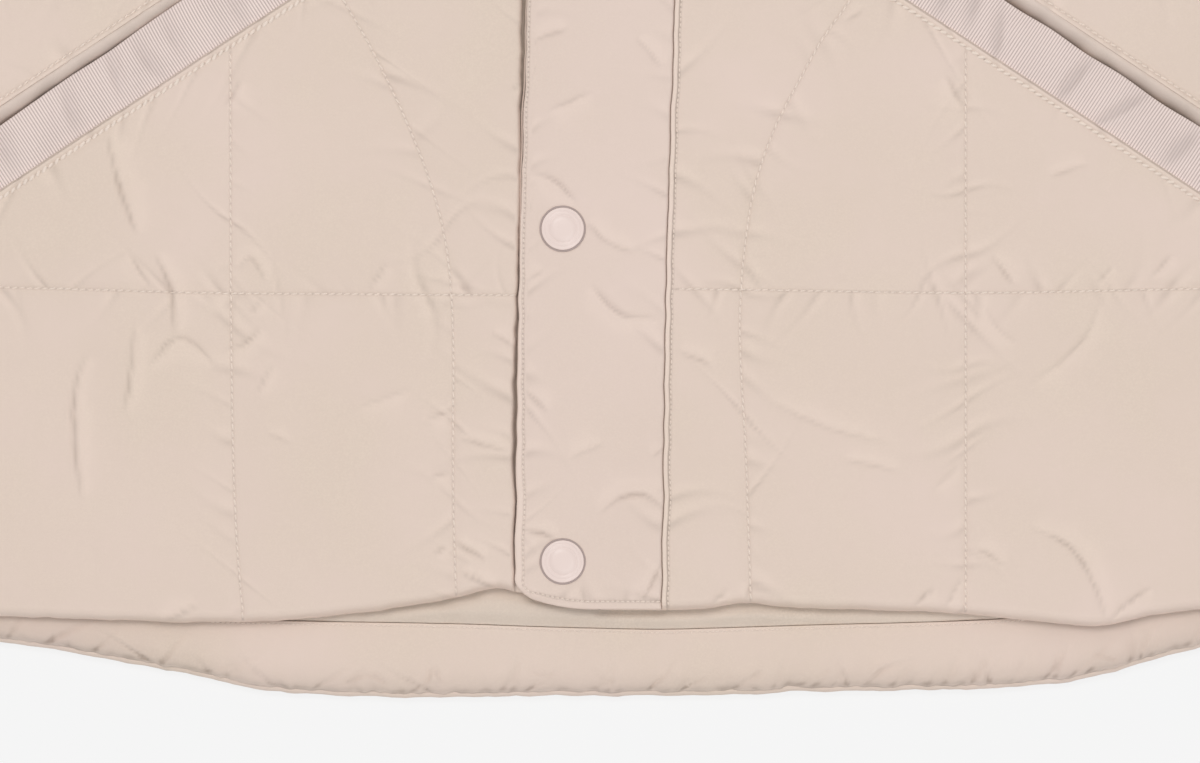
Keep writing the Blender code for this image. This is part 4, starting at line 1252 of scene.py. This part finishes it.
flapCut = {
    "grid": 1.0, "corner": 8.0, "facingCorner": 9.0, "roll": 0.9, "middle": 16.2, "lowest": 16.3,
    "stitch": 3.2, "stitchV": (0, 36, 60, 82, 700), "stitchIn": (3.2, 3.2, 2.8, 2.4, 2.4),
    "rollsOut": 0.8, "showsAbove": 120.0, "hangs": 1.7, "lumps": 0.22, "smallLumps": 0.10, "crumple": 0.03,
    # rimLight is a painted highlight, and the stitch, seam and facing shades are painted shade
    "rimLight": 0.055, "stitchShade": 0.11, "seamShade": 0.35, "facingShade": 0.62,
    "near": (0, 0.08, 0.3, 0.6, 1.0, 1.5, 2.0, 2.4, 2.8, 3.2, 3.6, 4.2, 5.1),
    "nearSeam": (3.2, 2.0, 1.1, 0.5, 0.2, 0.0), "facingNear": (0, 0.1, 0.35, 0.8, 1.6),
}
flapCreases = (
    (((-27, 172), (-20, 170), (-9, 160)), 0.7, 2.6, -1),
    (((-4, 154), (4, 146), (15, 142)), 0.6, 2.2, 1),
    (((16, 227), (26, 215)), 0.5, 2.4, 1),
    (((-26, 226), (-12, 231)), 0.6, 2.0, 1),
    (((-29, 130), (-22, 135)), 0.5, 1.8, 1),
    (((-4, 128), (10, 115), (24, 114)), 0.7, 2.6, -1),
    (((-28, 87), (-19, 78)), 0.6, 2.0, 1),
    (((0, 38), (8, 44), (18, 46), (27, 40)), 0.9, 2.4, 1),
    (((21, 61), (26, 64)), 0.5, 1.6, 1),
    (((-30, 32), (-24, 31), (-16, 28)), 0.8, 1.6, 1),
    (((-8, 8), (-6, 1)), 0.5, 1.4, -1),
    (((17, 3), (24, 18)), 0.8, 1.6, 1),
    (((-12, 60), (2, 66)), 0.4, 3.0, 1),
    (((-20, 196), (-2, 204)), 0.35, 3.2, -1),
    (((-27, 268), (-14, 276), (-4, 274)), 0.6, 2.4, 1),
    (((8, 300), (20, 310), (27, 308)), 0.6, 2.2, -1),
    (((-28, 352), (-18, 344)), 0.6, 2.0, 1),
    (((2, 388), (14, 380), (26, 384)), 0.7, 2.4, 1),
    (((-27, 440), (-12, 446)), 0.5, 2.2, -1),
    (((10, 470), (24, 460)), 0.6, 2.2, 1),
    (((-26, 500), (-12, 494), (-2, 500)), 0.6, 2.4, 1),
    (((4, 560), (20, 552), (27, 556)), 0.6, 2.4, -1),
    (((-27, 600), (-16, 608)), 0.6, 2.0, 1),
    (((-8, 640), (10, 634), (22, 640)), 0.5, 2.4, 1),
)


def flapStitchIn(v):
    return smoothCurve(flapCut["stitchV"], flapCut["stitchIn"], v)


def flapRuns():
    # one line of stitches: along the bottom, round the free corner, up the free edge and along the top
    inside, half, lowDrift = flapCut["stitch"], flap["half"], float(flapDrift(0.0))
    turn, top = flapCut["corner"] - inside, flap["top"] - inside
    left = -half + lowDrift + inside
    path = [(x, float(flapBottom(x)) + inside) for x in np.arange(half + lowDrift - 0.5, left + turn, -1.0)]
    corner = path[-1][1] + turn
    path += [(left + turn - turn * math.sin(a), corner - turn * math.cos(a))
             for a in np.linspace(0.1, math.pi / 2, 6)]
    path += [(-half + float(flapDrift(v)) + float(flapStitchIn(v)), v)
             for v in np.arange(corner + 2, top - turn, 1.0)]
    left = -half + flapCut["stitchIn"][-1]
    path += [(left + turn - turn * math.cos(a), top - turn + turn * math.sin(a))
             for a in np.linspace(0, math.pi / 2, 6)]
    path += [(x, top) for x in np.arange(left + turn + 1, half - 1, 1.0)]
    return [(np.array(path), "edge")]


def flapGrid(up, out, bottom, top, corner):
    # for each point: how far up it is, how far in from the free edge, its place, and a corner's share in it
    rise, fromEdge = np.meshgrid(up, out, indexing="ij")
    inset = np.zeros_like(rise)
    for distance in (rise, top - bottom - rise):
        inset += corner - np.sqrt(corner**2 - np.clip(corner - distance, 0, corner) ** 2)
    fromEdge = inset + fromEdge * (1 - inset / (2 * flap["half"]))
    return rise, fromEdge, -flap["half"] + flapDrift(bottom + rise) + fromEdge, bottom + rise, inset


def sagged(x, v, rise):
    return v + (flapBottom(x) - flap["bottom"]) * unit(1 - rise / flap["sagsUpTo"]) ** 1.5


def flapSheet():
    bottom, top, corner, stitch = flap["bottom"], flap["top"], flapCut["corner"], flapCut["stitch"]
    near, width = flapCut["near"], 2 * flap["half"]
    high, fromBack = top - bottom, width - np.array(flapCut["nearSeam"])
    up = np.concatenate([near, np.arange(6.0, 246.0, 1.2), np.arange(246.0, high - 5.5, 2.6),
                         high - np.array(near)[::-1]])
    out = np.concatenate([near, np.arange(6.2, width - 3.4, flapCut["grid"]), fromBack])
    rise, fromEdge, x, v = flapGrid(up, out, bottom, top, corner)[:4]
    v = sagged(x, v, rise)
    cornerUp = np.minimum(rise, top - bottom - rise)
    rounded = corner - np.hypot(positive(corner - fromEdge), positive(corner - cornerUp))
    outline = np.where((fromEdge < corner) & (cornerUp < corner), rounded, np.minimum(fromEdge, cornerUp))
    fromSeam = width - fromEdge
    stitchLine = outline + (stitch - flapStitchIn(v)) * (fromEdge < 12) * (cornerUp > 12)
    puff = (1 - fading(stitchLine - stitch, 4.0)) * (1 - fading(fromSeam, 3.5))
    z = heights["flapTop"] - 0.45 * (1 - puff)
    z = z + puff * (flapCut["lumps"] * gradientNoise(x, v, 26, 230)
                    + flapCut["smallLumps"] * gradientNoise(x, v, 11, 231))
    z = z + flapCut["crumple"] * gradientNoise(x, v, 5, 232)
    folds = creases(x, v, flapCreases)
    folds += puckers(v, fromEdge - stitch, 0, 680, 233, every=11, reach=5, deep=0.25) * (fromEdge > stitch)
    folds += puckers(v, fromSeam, 0, 680, 234, every=10, reach=5, deep=0.25)
    folds += puckers(x, rise - stitch, -22, 28, 235, every=8, reach=4, deep=0.25) * (rise > stitch)
    z = np.maximum(z + folds - 0.2 * bell(stitchLine - stitch, 0.45), flapCut["lowest"])
    tight = unit((v - 40) / 40) * (fromEdge < 12)  # higher up the stitching is pulled tight
    # painted highlight on the rim outside the stitching, painted shade and highlight from the folds, and
    # painted shade along the stitching's groove and in a thin line at the seam
    tone = flapCut["rimLight"] * unit((stitch - 0.4 - stitchLine) / 0.5) + foldShadeAndHighlight(folds)
    tone = tone - flapCut["stitchShade"] * tight * bell(stitchLine - stitch - 0.1, 0.3)
    tone = tone - flapCut["seamShade"] * bell(fromSeam, 0.45)
    rolled = np.minimum(quarterRound(outline, flapCut["roll"]), quarterRound(fromSeam, flapCut["roll"]))
    hangs = flapCut["hangs"] * bell(rise, 3.2)
    z = flapCut["middle"] + (z - flapCut["middle"]) * rolled - hangs
    x = x + 0.35 * noiseAlong(v, 21, 236) * np.exp(-outline / 3)
    under = heights["flapUnder"] - hangs
    piece = closedShell("flap", x, v, z, under, (3, (1, 2, 3, 4, 5, 6)), (3,))
    paintSewingAndShade(piece, tone, stitchMarks(x, v, flapRuns()))
    dress(piece, flapCloth, "flap", "front_flap")
    print("flap:", z.shape, "points")
    return piece


def flapFacing():
    bottom, top, width = flap["bottom"] + 1.5, flap["top"] - 1.5, 2 * flap["half"]
    near, high = np.array(flapCut["facingNear"]), top - bottom
    up = np.concatenate([near, np.arange(4.0, high - 3.0, 4.0), high - near[::-1]])
    out = np.concatenate([near, np.arange(4.0, width - 2.0, 5.0), width - near[::-1]])
    rise, fromEdge, x, v, inset = flapGrid(up, out, bottom, top, flapCut["facingCorner"])
    shows = unit((v - flapCut["showsAbove"]) / 40)
    rollsOut = flapCut["rollsOut"] * (2 * shows - 1) + 0.25 * noiseAlong(v, 30, 240)
    x = x - rollsOut * (1 - fromEdge / width)
    fromEnds = np.minimum(rise, high - rise)
    outline = np.minimum(fromEdge - inset, np.minimum(fromEnds, width - fromEdge))
    low, high = heights["underFlap"] + 0.3, heights["flapUnder"] - 0.15
    z = low + 0.4 + (high - low - 0.4) * quarterRound(positive(outline), 0.8)
    hangs = 0.7 * flapCut["hangs"] * bell(rise, 3.2)
    keep = (2, (1, 2, 3))
    piece = closedShell("flapFacing", x, sagged(x, v, rise), z - hangs, low - hangs, keep, keep)
    # painted shade over the facing under the flap, all but its outer edge
    paintSewingAndShade(piece, -flapCut["facingShade"] * unit((fromEdge - inset - 0.45) / 0.3))
    dress(piece, flapCloth, "flap", "flap_facing")


flapPiece = flapSheet()
flapFacing()

# pocket tapes and the facings inside the mouths

tapeCut = {
    "thread": 1.185, "samples": 6, "ribHigh": 0.24, "thick": 0.85, "length": 208.0, "overhang": 0.5,
    # the tape is darkened with painted shade of its waves, evenly and in patches, which also softens its ribs
    "wave": 0.25, "smallWave": 0.15, "lift": 0.6, "darkening": 0.12, "darkeningPatches": 0.25,
    "split": 180.0, "endsAt": 160.0,  # from the split on it is drawn out to end at the side seam
    "across": (0, 0.05, 0.2, 0.5, 1.0, 2.2, 4.2, 6.4, 8.6, 10.8, 13.0, 15.2, 17.2, 19.0, 20.4,
               21.2, 21.7, 22.0, 22.2, 22.3),
}
tapeFolds = {  # soft dents across each tape: place down the tape, middle of its width, slant, depth and width
    -1: ((14, 12, -0.2, 0.8, 3.4), (38, 9, -0.1, 0.9, 3.0), (66, 13, -0.1, 0.9, 2.6),
         (79, 11, 0.1, 1.2, 2.8), (94, 14, -0.3, 1.3, 2.6), (116, 12, -0.3, 1.2, 3.0),
         (146, 12, -0.2, 1.1, 3.6), (176, 12, 0.1, 0.9, 3.4), (196, 9, -0.1, 0.8, 3.0)),
    1: ((12, 10, -0.3, 0.8, 3.2), (30, 12, -0.2, 0.9, 3.0), (43, 13, -0.3, 1.1, 2.8),
        (56, 9, -0.5, 1.4, 2.2), (92, 11, 0.1, 1.4, 2.4), (114, 10, 0.5, 1.5, 2.2),
        (142, 11, 0.2, 1.2, 3.4), (166, 12, -0.1, 1.0, 3.4), (190, 10, -0.2, 0.9, 3.2)),
}
tapeEdges = {  # how far the tape's upper edge lies off its line: place down the tape, distance
    -1: ((0, 30, 55, 75, 92, 110, 130, 150, 175, 210), (0.2, 0.8, 1.9, 1.5, 0.6, 0.9, 0.2, -0.5, 0.2, 0.0)),
    1: ((0, 25, 42, 58, 74, 90, 108, 126, 145, 165, 210),
        (0.2, 0.6, -0.2, -0.8, 0.1, -0.5, 0.3, -0.5, 0.3, -0.3, 0.0)),
}


def alongPocket(s, w):
    # s runs down the mouth from the tape's inner end, w square to it, upwards
    slope, stretch = pocket["slope"], pocketStretch
    u = pocket["startU"] + s / stretch + w * slope / stretch
    return u, pocket["startV"] - s * slope / stretch + w / stretch


def pocketTape(side):
    cut, wide = tapeCut, pocket["tape"] + tapeCut["overhang"]
    across = np.array(cut["across"]) * wide / cut["across"][-1]
    w, s = np.meshgrid(across, np.arange(0, cut["length"], cut["thread"] / cut["samples"]), indexing="ij")
    ends = sideEdge(body["frontScoop"])(cut["endsAt"]) - 3.0 - pocket["startU"]
    ends, split = (ends - w * pocket["slope"] / pocketStretch) * pocketStretch, cut["split"]
    s = np.where(s < split, s, split + (s - split) * (ends - split) / (cut["length"] - split))
    u, v = alongPocket(s, w)
    seed, darkens = (250, 0.55) if side < 0 else (260, 0.9)
    wave = cut["wave"] * gradientNoise(s + 0.2 * w, w * 0.22, 21, seed)
    wave = wave + cut["smallWave"] * gradientNoise(s, w * 0.5, 10, seed + 1)
    # painted shade of the tape's waves, evenly and in patches, and more in each dent below
    darkening = cut["darkening"] + cut["darkeningPatches"] * unit(gradientNoise(s + 0.3 * w, w * 0.4, 14, seed + 4))
    for place, middle, slant, deep, width in tapeFolds[side]:
        off = (s - place - slant * (w - 11)) / width
        reach = bell(w - middle, 9.0)
        dent = bell(off, 1) - 0.45 * bell(off - 1.9, 1.2) - 0.25 * bell(off + 1.8, 1.1)
        wave = wave - deep * reach * dent
        darkening = darkening + darkens * deep * reach * bell(off - 0.3, 0.9)
    rib = np.abs(np.sin(math.pi * s / cut["thread"])) ** 0.8
    fromEdge = np.minimum(np.minimum(w, wide - w), np.minimum(s, positive(ends - s)) + 0.01)
    edgeMove = smoothCurve(*tapeEdges[side], s) * unit((w - 10) / (wide - 10)) ** 2
    bed = heights["tapeBed"]
    lift = cut["lift"] * mouthOpen(u) * unit((w - 14) / 8) ** 2
    z = bed + cut["thick"] + wave * np.clip(w / 4, 0.1, 1) + 0.35 + lift
    z = z + cut["ribHigh"] * (rib - 1) * (1 - 0.5 * unit(darkening)) * unit(fromEdge / 0.5)
    z = bed + np.clip(z - bed, 0.3, None) * quarterRound(fromEdge, 0.45)
    name, v = "tape" + sideName[side], v + edgeMove
    piece = closedShell(name, side * u, v, z, bed - 0.2, (3, (1, 3)), (5, (1, 3)))
    paint(piece, "along", "FLOAT", "value", s)
    paint(piece, "darkening", "FLOAT", "value", np.clip(darkening, -0.5, 1))
    dress(piece, tapeCloth, "tape", f"pocket_tape_{sideName[side].lower()}")


mouthCut = {
    "from": 16.0, "to": 188.0, "step": 1.5, "floor": 0.2, "thick": 0.6, "high": 5.6,
    "shade": 0.48, "shadeWide": 1.8, "shadeVaries": 1.1,
    "across": (-3, -2, -1, -0.4, 0.1, 0.7, 1.4, 2.2, 3.0, 3.8, 4.5, 5.1, 5.6, 6.0, 6.4),
}


def mouthFacing(side):
    cut = mouthCut
    along = np.arange(cut["from"], cut["to"], cut["step"])
    s, w = (grid.T for grid in np.meshgrid(along, cut["across"], indexing="ij"))
    opening = mouthOpen(alongPocket(s, pocket["tape"] + 3)[0])
    closed = pocket["closed"] / pocketStretch
    wide = closed + (pocket["mouth"] - closed) * opening
    share = np.clip(w / cut["across"][-1], -0.5, 1)
    place = np.where(w > 0, share * (wide + 0.3), w)  # its upper edge is tucked under the lip
    u, v = alongPocket(s, pocket["tape"] + place)
    seed = 270 if side < 0 else 280
    floor = heights["stitched"] + cut["floor"] - frontCut["mouthDrop"] - 0.4
    rise = np.sin(math.pi / 2 * unit(share + 0.1))
    z = floor + cut["thick"] + (cut["high"] + 0.2 * gradientNoise(s, w, 20, seed)) * rise
    # painted shade in the pocket mouth, deepest beside the tape and a little at the lip, with a little uneven
    # tone
    dark = np.clip(cut["shadeWide"] + cut["shadeVaries"] * gradientNoise(s, 0 * w, 14, seed + 2), 0.7, 3.0)
    tone = -cut["shade"] * np.exp(-(positive(place) / dark) ** 1.3)
    tone = tone - 0.10 * (1 - unit(share)) - 0.05 * (share > 0.8)
    tone = tone + 0.06 * gradientNoise(s, w, 7, seed + 1)
    z = z - (1 - opening)
    fade = unit(np.minimum(s - cut["from"], cut["to"] - cut["step"] - s) / 3)
    z = floor + (z - floor) * (0.25 + 0.75 * fade)
    piece = closedShell("mouth" + sideName[side], side * u, v, z, floor - 0.1, (3, (1,)), (4, (1, 3)))
    paintSewingAndShade(piece, tone)
    dress(piece, mouthCloth, "shell", f"pocket_facing_{sideName[side].lower()}")


for side in (-1, 1):
    pocketTape(side)
for side in (-1, 1):
    mouthFacing(side)
print("pocket tapes and facings made")

# collar

collarCut = {
    "thick": 6.6, "inside": 1.6, "fold": 86.0, "curve": 2.1, "seam": 3.0, "pressed": 5.0, "pressedTo": 36.0,
    "centreTop": 683.0, "sideTop": 752.0, "backTop": 745.0, "stitch": 5.0, "turnSteps": 16, "lowest": 0.05,
    "up":    (0.0, 0.02, 0.07, 0.15, 0.30, 0.55, 0.80, 0.90, 0.95, 0.985, 1.0),
    "thickness": (0.45, 0.65, 0.85, 0.95, 1.0, 1.0, 1.0, 0.86, 0.72, 0.5, 0.16),
    "rings": (0, 0.01, 0.03, 0.06, 0.1, *np.linspace(0.15, 0.85, 16), 0.88, 0.91, 0.94, 0.965, 0.985, 1.0),
}


def collarPath():
    # the wall's middle, where its outer face looks, its lower and upper edge, and its thickness
    cut = collarCut
    under = cut["thick"] / 2
    over = under + cut["thick"] + cut["inside"]
    turn = (over - under) / 2

    def lowEdge(lowest, u):
        return float(neckline(body[lowest])(u)) + cut["seam"]

    def highEdge(middleTop, u):
        return middleTop + (cut["sideTop"] - middleTop) * (u / cut["fold"]) ** cut["curve"]
    rows = []
    for u in np.concatenate([[1.0], np.arange(2.5, 81.5, 1.5)]):
        pressed = 0.5 - 0.5 * math.cos(math.pi * min(max((u - cut["pressedTo"] + 4) / 8, 0), 1))
        thick = cut["pressed"] + (cut["thick"] - cut["pressed"]) * pressed
        middle = (heights["underFlap"] - thick / 2) * (1 - pressed) + over * pressed
        rows.append((u, middle, 0.0, 1.0, lowEdge("frontNeck", u), highEdge(cut["centreTop"], u), thick))
    for k in range(cut["turnSteps"] + 1):
        angle = math.pi * (0.5 - k / cut["turnSteps"])
        look = math.cos(angle), math.sin(angle)
        at = cut["fold"] - turn + turn * look[0]
        neck = "backNeck" if 2 * k > cut["turnSteps"] else "frontNeck"
        low = lowEdge(neck, at + look[0] * cut["thick"] / 2)
        rows.append((at, under + turn + turn * look[1], *look, low, cut["sideTop"], cut["thick"]))
    for u in np.arange(79.5, -0.1, -1.5):
        rows.append((u, under, 0.0, -1.0, lowEdge("backNeck", u), highEdge(cut["backTop"], u), cut["thick"]))
    rows = np.array(rows)
    return np.concatenate([rows, rows[:-1][::-1] * np.array([-1, 1, -1, 1, 1, 1, 1])])


def collarPiece():
    cut, path = collarCut, collarPath()
    run, share = runOf(path[:, :2]), np.array(collarCut["rings"])
    u, z, lookU, lookZ, low, high, wall = (path[:, k:k + 1] for k in range(7))
    rings = []
    for outward, seed in ((1, 300), (-1, 320)):
        up = share[::outward]
        half = np.interp(up, cut["up"], cut["thickness"])
        v = low + (high - low) * up
        s = run[:, None] + 0 * v
        swell = 0.5 * gradientNoise(s, v, 30, seed) + 0.25 * gradientNoise(s, v, 13, seed + 1)
        swell = swell + 0.07 * gradientNoise(s, v, 5, seed + 2)
        folds = puckers(s, high - v - cut["stitch"], 0, run[-1], seed + 3, every=9, reach=8, deep=0.45)
        folds = folds + puckers(s, v - low, 0, run[-1], seed + 4, every=9, reach=10, deep=0.55)
        folds = folds - 0.7 * np.exp(-np.abs(high - v - cut["stitch"]) / 1.2) + 0.5
        away = unit(half) * (0.35 + 0.65 * unit((wall - 5.2) / 1.4))
        reach = wall * half / 2 + away * np.clip(swell + folds - 0.4, -1.4, 0.7)
        rings.append(np.stack([u + lookU * outward * reach, v - originV, z + lookZ * outward * reach], -1))
    grid = np.concatenate(rings, axis=1)
    grid[..., 2] = np.maximum(grid[..., 2], cut["lowest"])
    index = np.arange(grid.shape[0] * grid.shape[1]).reshape(grid.shape[:2])
    besides = np.roll(index, -1, axis=1)
    faces = np.stack([index[:-1], index[1:], besides[1:], besides[:-1]], -1).reshape(-1, 4).tolist()
    faces += [index[0].tolist(), index[-1, ::-1].tolist()]
    piece = meshPiece("collarBand", grid.reshape(-1, 3) * 0.001, faces)
    dress(piece, shellCloth, "shell", "collar")
    print("collar:", grid.shape[:2], "points")


collarPiece()

# snap caps

snap = {
    "u": -14.0, "first": 18.4, "pitch": 132.0, "count": 5, "collar": 658.0, "radius": 9.2, "foot": 17.5,
    "sides": 64, "rim": 0.915, "smoothAngle": 50,
    "rings": (  # height above the foot, and share of the radius, from the outside in
        (0.20, 1.0), (0.32, 0.995), (0.36, 0.975), (0.34, 0.960), (0.28, 0.945), (0.28, 0.935), (0.40, 0.925),
        (0.66, 0.914), (0.80, 0.89), (0.83, 0.85), (0.81, 0.79), (0.70, 0.775), (0.70, 0.76), (0.80, 0.745),
        (0.82, 0.62), (0.70, 0.605), (0.70, 0.59), (0.84, 0.57), (0.98, 0.35), (1.02, 0.05)),
}


def snapCap(number, v):
    # a turned cap: each ring is the last one extruded, lifted and drawn in
    bpy.ops.object.select_all(action="DESELECT")
    centre = Vector((snap["u"], v - originV, snap["foot"])) * 0.001
    bpy.ops.mesh.primitive_circle_add(vertices=snap["sides"], radius=snap["radius"] * 0.001, fill_type="NGON",
                                      location=centre)
    piece = bpy.context.object
    piece.name = f"snapCap{number}"
    bpy.ops.object.mode_set(mode="EDIT")
    bpy.ops.mesh.select_all(action="DESELECT")
    bpy.ops.mesh.select_mode(type="EDGE")
    bpy.ops.mesh.select_all(action="SELECT")
    wide, high = 1.0, 0.0
    for up, out in snap["rings"]:
        bpy.ops.mesh.extrude_region_move(TRANSFORM_OT_translate={"value": (0, 0, (up - high) * 0.001)})
        bpy.ops.transform.resize(value=(out / wide, out / wide, 1), center_override=centre)
        wide, high = out, up
    bpy.ops.mesh.select_all(action="SELECT")
    bpy.ops.mesh.normals_make_consistent(inside=False)
    bpy.ops.object.mode_set(mode="OBJECT")
    bpy.ops.object.transform_apply(location=True, rotation=True, scale=True)
    bpy.ops.object.shade_smooth_by_angle(angle=math.radians(snap["smoothAngle"]))
    for finish in snapFinishes:
        piece.data.materials.append(finish)
    for face in piece.data.polygons:
        out = (Vector(face.center[:2]) - centre.xy).length / (snap["radius"] * 0.001)
        face.material_index = 1 if out > snap["rim"] else 0
    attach(piece, "root")
    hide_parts(f"snap_cap_{number}")


for number in range(snap["count"]):
    snapCap(number + 1, snap["first"] + snap["pitch"] * number)
snapCap(snap["count"] + 1, snap["collar"])
print("snap caps made")

# stitches: small threads half sunk in the cloth, joined into one mesh a panel

threadRings = (  # place along the thread, share of its width, and how far it sinks
    (-0.5, 0.3, -0.30), (-0.40, 0.8, -0.10), (-0.15, 1.0, 0.0),
    (0.15, 1.0, 0.0), (0.40, 0.8, -0.10), (0.5, 0.3, -0.30),
)


def surfaceOf(piece, under=False):
    # the height of a piece's cloth at a point, seen from above or from below
    tree = BVHTree.FromObject(piece, bpy.context.evaluated_depsgraph_get())

    def height(x, v):
        start = Vector((x * 0.001, (v - originV) * 0.001, -0.05 if under else 0.05))
        hit = tree.ray_cast(start, Vector((0, 0, 1 if under else -1)))[0]
        return hit.z * 1000 if hit else None
    return height


def stitchesAlong(path, look, seed, wander=0.08):
    # centres and directions of the stitches on a line, each turned a little across it
    sewn, run = sewing[look], runOf(path)
    rng = np.random.RandomState(seed)
    at = np.arange(sewn["pitch"] / 2, run[-1] - sewn["pitch"] / 3, sewn["pitch"])
    ahead, back = np.minimum(at + 0.5, run[-1]), np.maximum(at - 0.5, 0)
    place, before, after = (np.stack([np.interp(k, run, path[:, 0]), np.interp(k, run, path[:, 1])], -1)
                            for k in (at, back, ahead))
    angle = np.arctan2(*(after - before).T[::-1]) + sewn["slant"] * rng.uniform(0.6, 1.3, len(at))
    aside = rng.uniform(-wander, wander, len(at))
    size = rng.uniform(0.88, 1.1, len(at))
    return [(a - s * math.sin(turn), b + s * math.cos(turn), math.cos(turn), math.sin(turn), look, k)
            for (a, b), s, turn, k in zip(place.tolist(), aside, angle, size)]


def threadMesh(name, runs, piece, seed, under=False):
    surface = surfaceOf(piece, under)
    stitches = [stitch for number, (path, look) in enumerate(runs)
                for stitch in stitchesAlong(path, look, seed + number)]
    # simpler on the side that lies on the floor
    ringAt = [threadRings[k] for k in (0, 2, 3, 5)] if under else threadRings
    sides, sign = (4, -1) if under else (6, 1)
    turns = [2 * math.pi * (k + 0.5) / sides for k in range(sides)]
    points, faces = [], []
    for x, v, dx, dv, look, size in stitches:
        sewn = sewing[look]
        long, half = sewn["long"] * size, sewn["half"] * size
        low, middle, high = (surface(x + dx * long * share, v + dv * long * share)
                             for share in (-0.45, 0.0, 0.45))
        if None in (low, middle, high):
            continue
        first = len(points)
        for share, swell, sink in ringAt:
            t = share / 0.45
            z = middle + (high - low) / 2 * t + (low + high - 2 * middle) / 2 * t * t
            z += sign * (sink + sewn["rise"])
            for turn in turns:
                out, up = half * swell * math.cos(turn), min(half, 0.34) * swell * math.sin(turn)
                points.append((x + dx * share * long - dv * out, v + dv * share * long + dx * out - originV,
                               max(z + up, 0.0)))
        last = len(points) - sides
        for start in range(first, last, sides):
            for k in range(sides):
                a, b = start + k, start + (k + 1) % sides
                faces.append((a, b, b + sides, a + sides))
        faces += [tuple(range(first, first + sides))[::-1], tuple(range(last, last + sides))]
    dress(meshPiece(name, np.array(points) * 0.001, faces), thread, "tape")
    print(name, len(stitches), "stitches")


for side in (-1, 1):
    runs = mirrored(frontRuns(side), side)
    threadMesh(f"front{sideName[side]}Thread", runs, frontPieces[side], 400 + 20 * side)
threadMesh("flapThread", flapRuns(), flapPiece, 440)
threadMesh("hemFacingThread", bandRuns(), bandPiece, 445)
threadMesh("backThread", backRuns(), backPiece, 450, under=True)

# floor, light and camera

studioSet = {
    "dome": 0.405, "floorGlow": 0.788, "floorSize": 12, "aim": (0, -0.2, 0),
    "lamps": (("keyLamp", (-0.5, 0.8, 2.6), 1.0, 30), ("fillLamp", (0.7, -1.2, 2.5), 1.4, 24)),
}


def studio():
    bpy.ops.mesh.primitive_plane_add(size=studioSet["floorSize"], location=(0, 0, -0.0002))
    floor = bpy.context.object
    floor.name = "studioFloor"
    paper, shader = newMaterial("floor paper", (0.12, 0.12, 0.12), 0.9)[:2]
    plug(shader, {"Emission Color": (1, 1, 1), "Emission Strength": studioSet["floorGlow"]})
    floor.data.materials.append(paper)
    world = bpy.data.worlds.new("soft studio")
    bpy.context.scene.world = world
    world.use_nodes = True
    plug(world.node_tree.nodes["Background"], {"Color": (1, 1, 1), "Strength": studioSet["dome"]})
    for name, place, size, power in studioSet["lamps"]:
        lampData = bpy.data.lights.new(name, "AREA")
        lampData.size = size
        lampData.energy = power
        lamp = bpy.data.objects.new(name, lampData)
        bpy.context.scene.collection.objects.link(lamp)
        lamp.location = place
        lamp.rotation_euler = (Vector(studioSet["aim"]) - Vector(place)).to_track_quat("-Z", "Y").to_euler()


studio()

view = {"middle": (0.8, 89.8), "width": 480.0, "height": 2200.0, "sensor": 36.0}
cameraData = bpy.data.cameras.new("camera")
cameraData.sensor_width = view["sensor"]
cameraData.lens = view["sensor"] * view["height"] / view["width"]
camera = bpy.data.objects.new("camera", cameraData)
bpy.context.scene.collection.objects.link(camera)
camera.location = (view["middle"][0] * 0.001, (view["middle"][1] - originV) * 0.001, view["height"] * 0.001)
bpy.context.scene.camera = camera
bpy.context.scene.view_settings.view_transform = "Standard"
print("studio and camera ready")
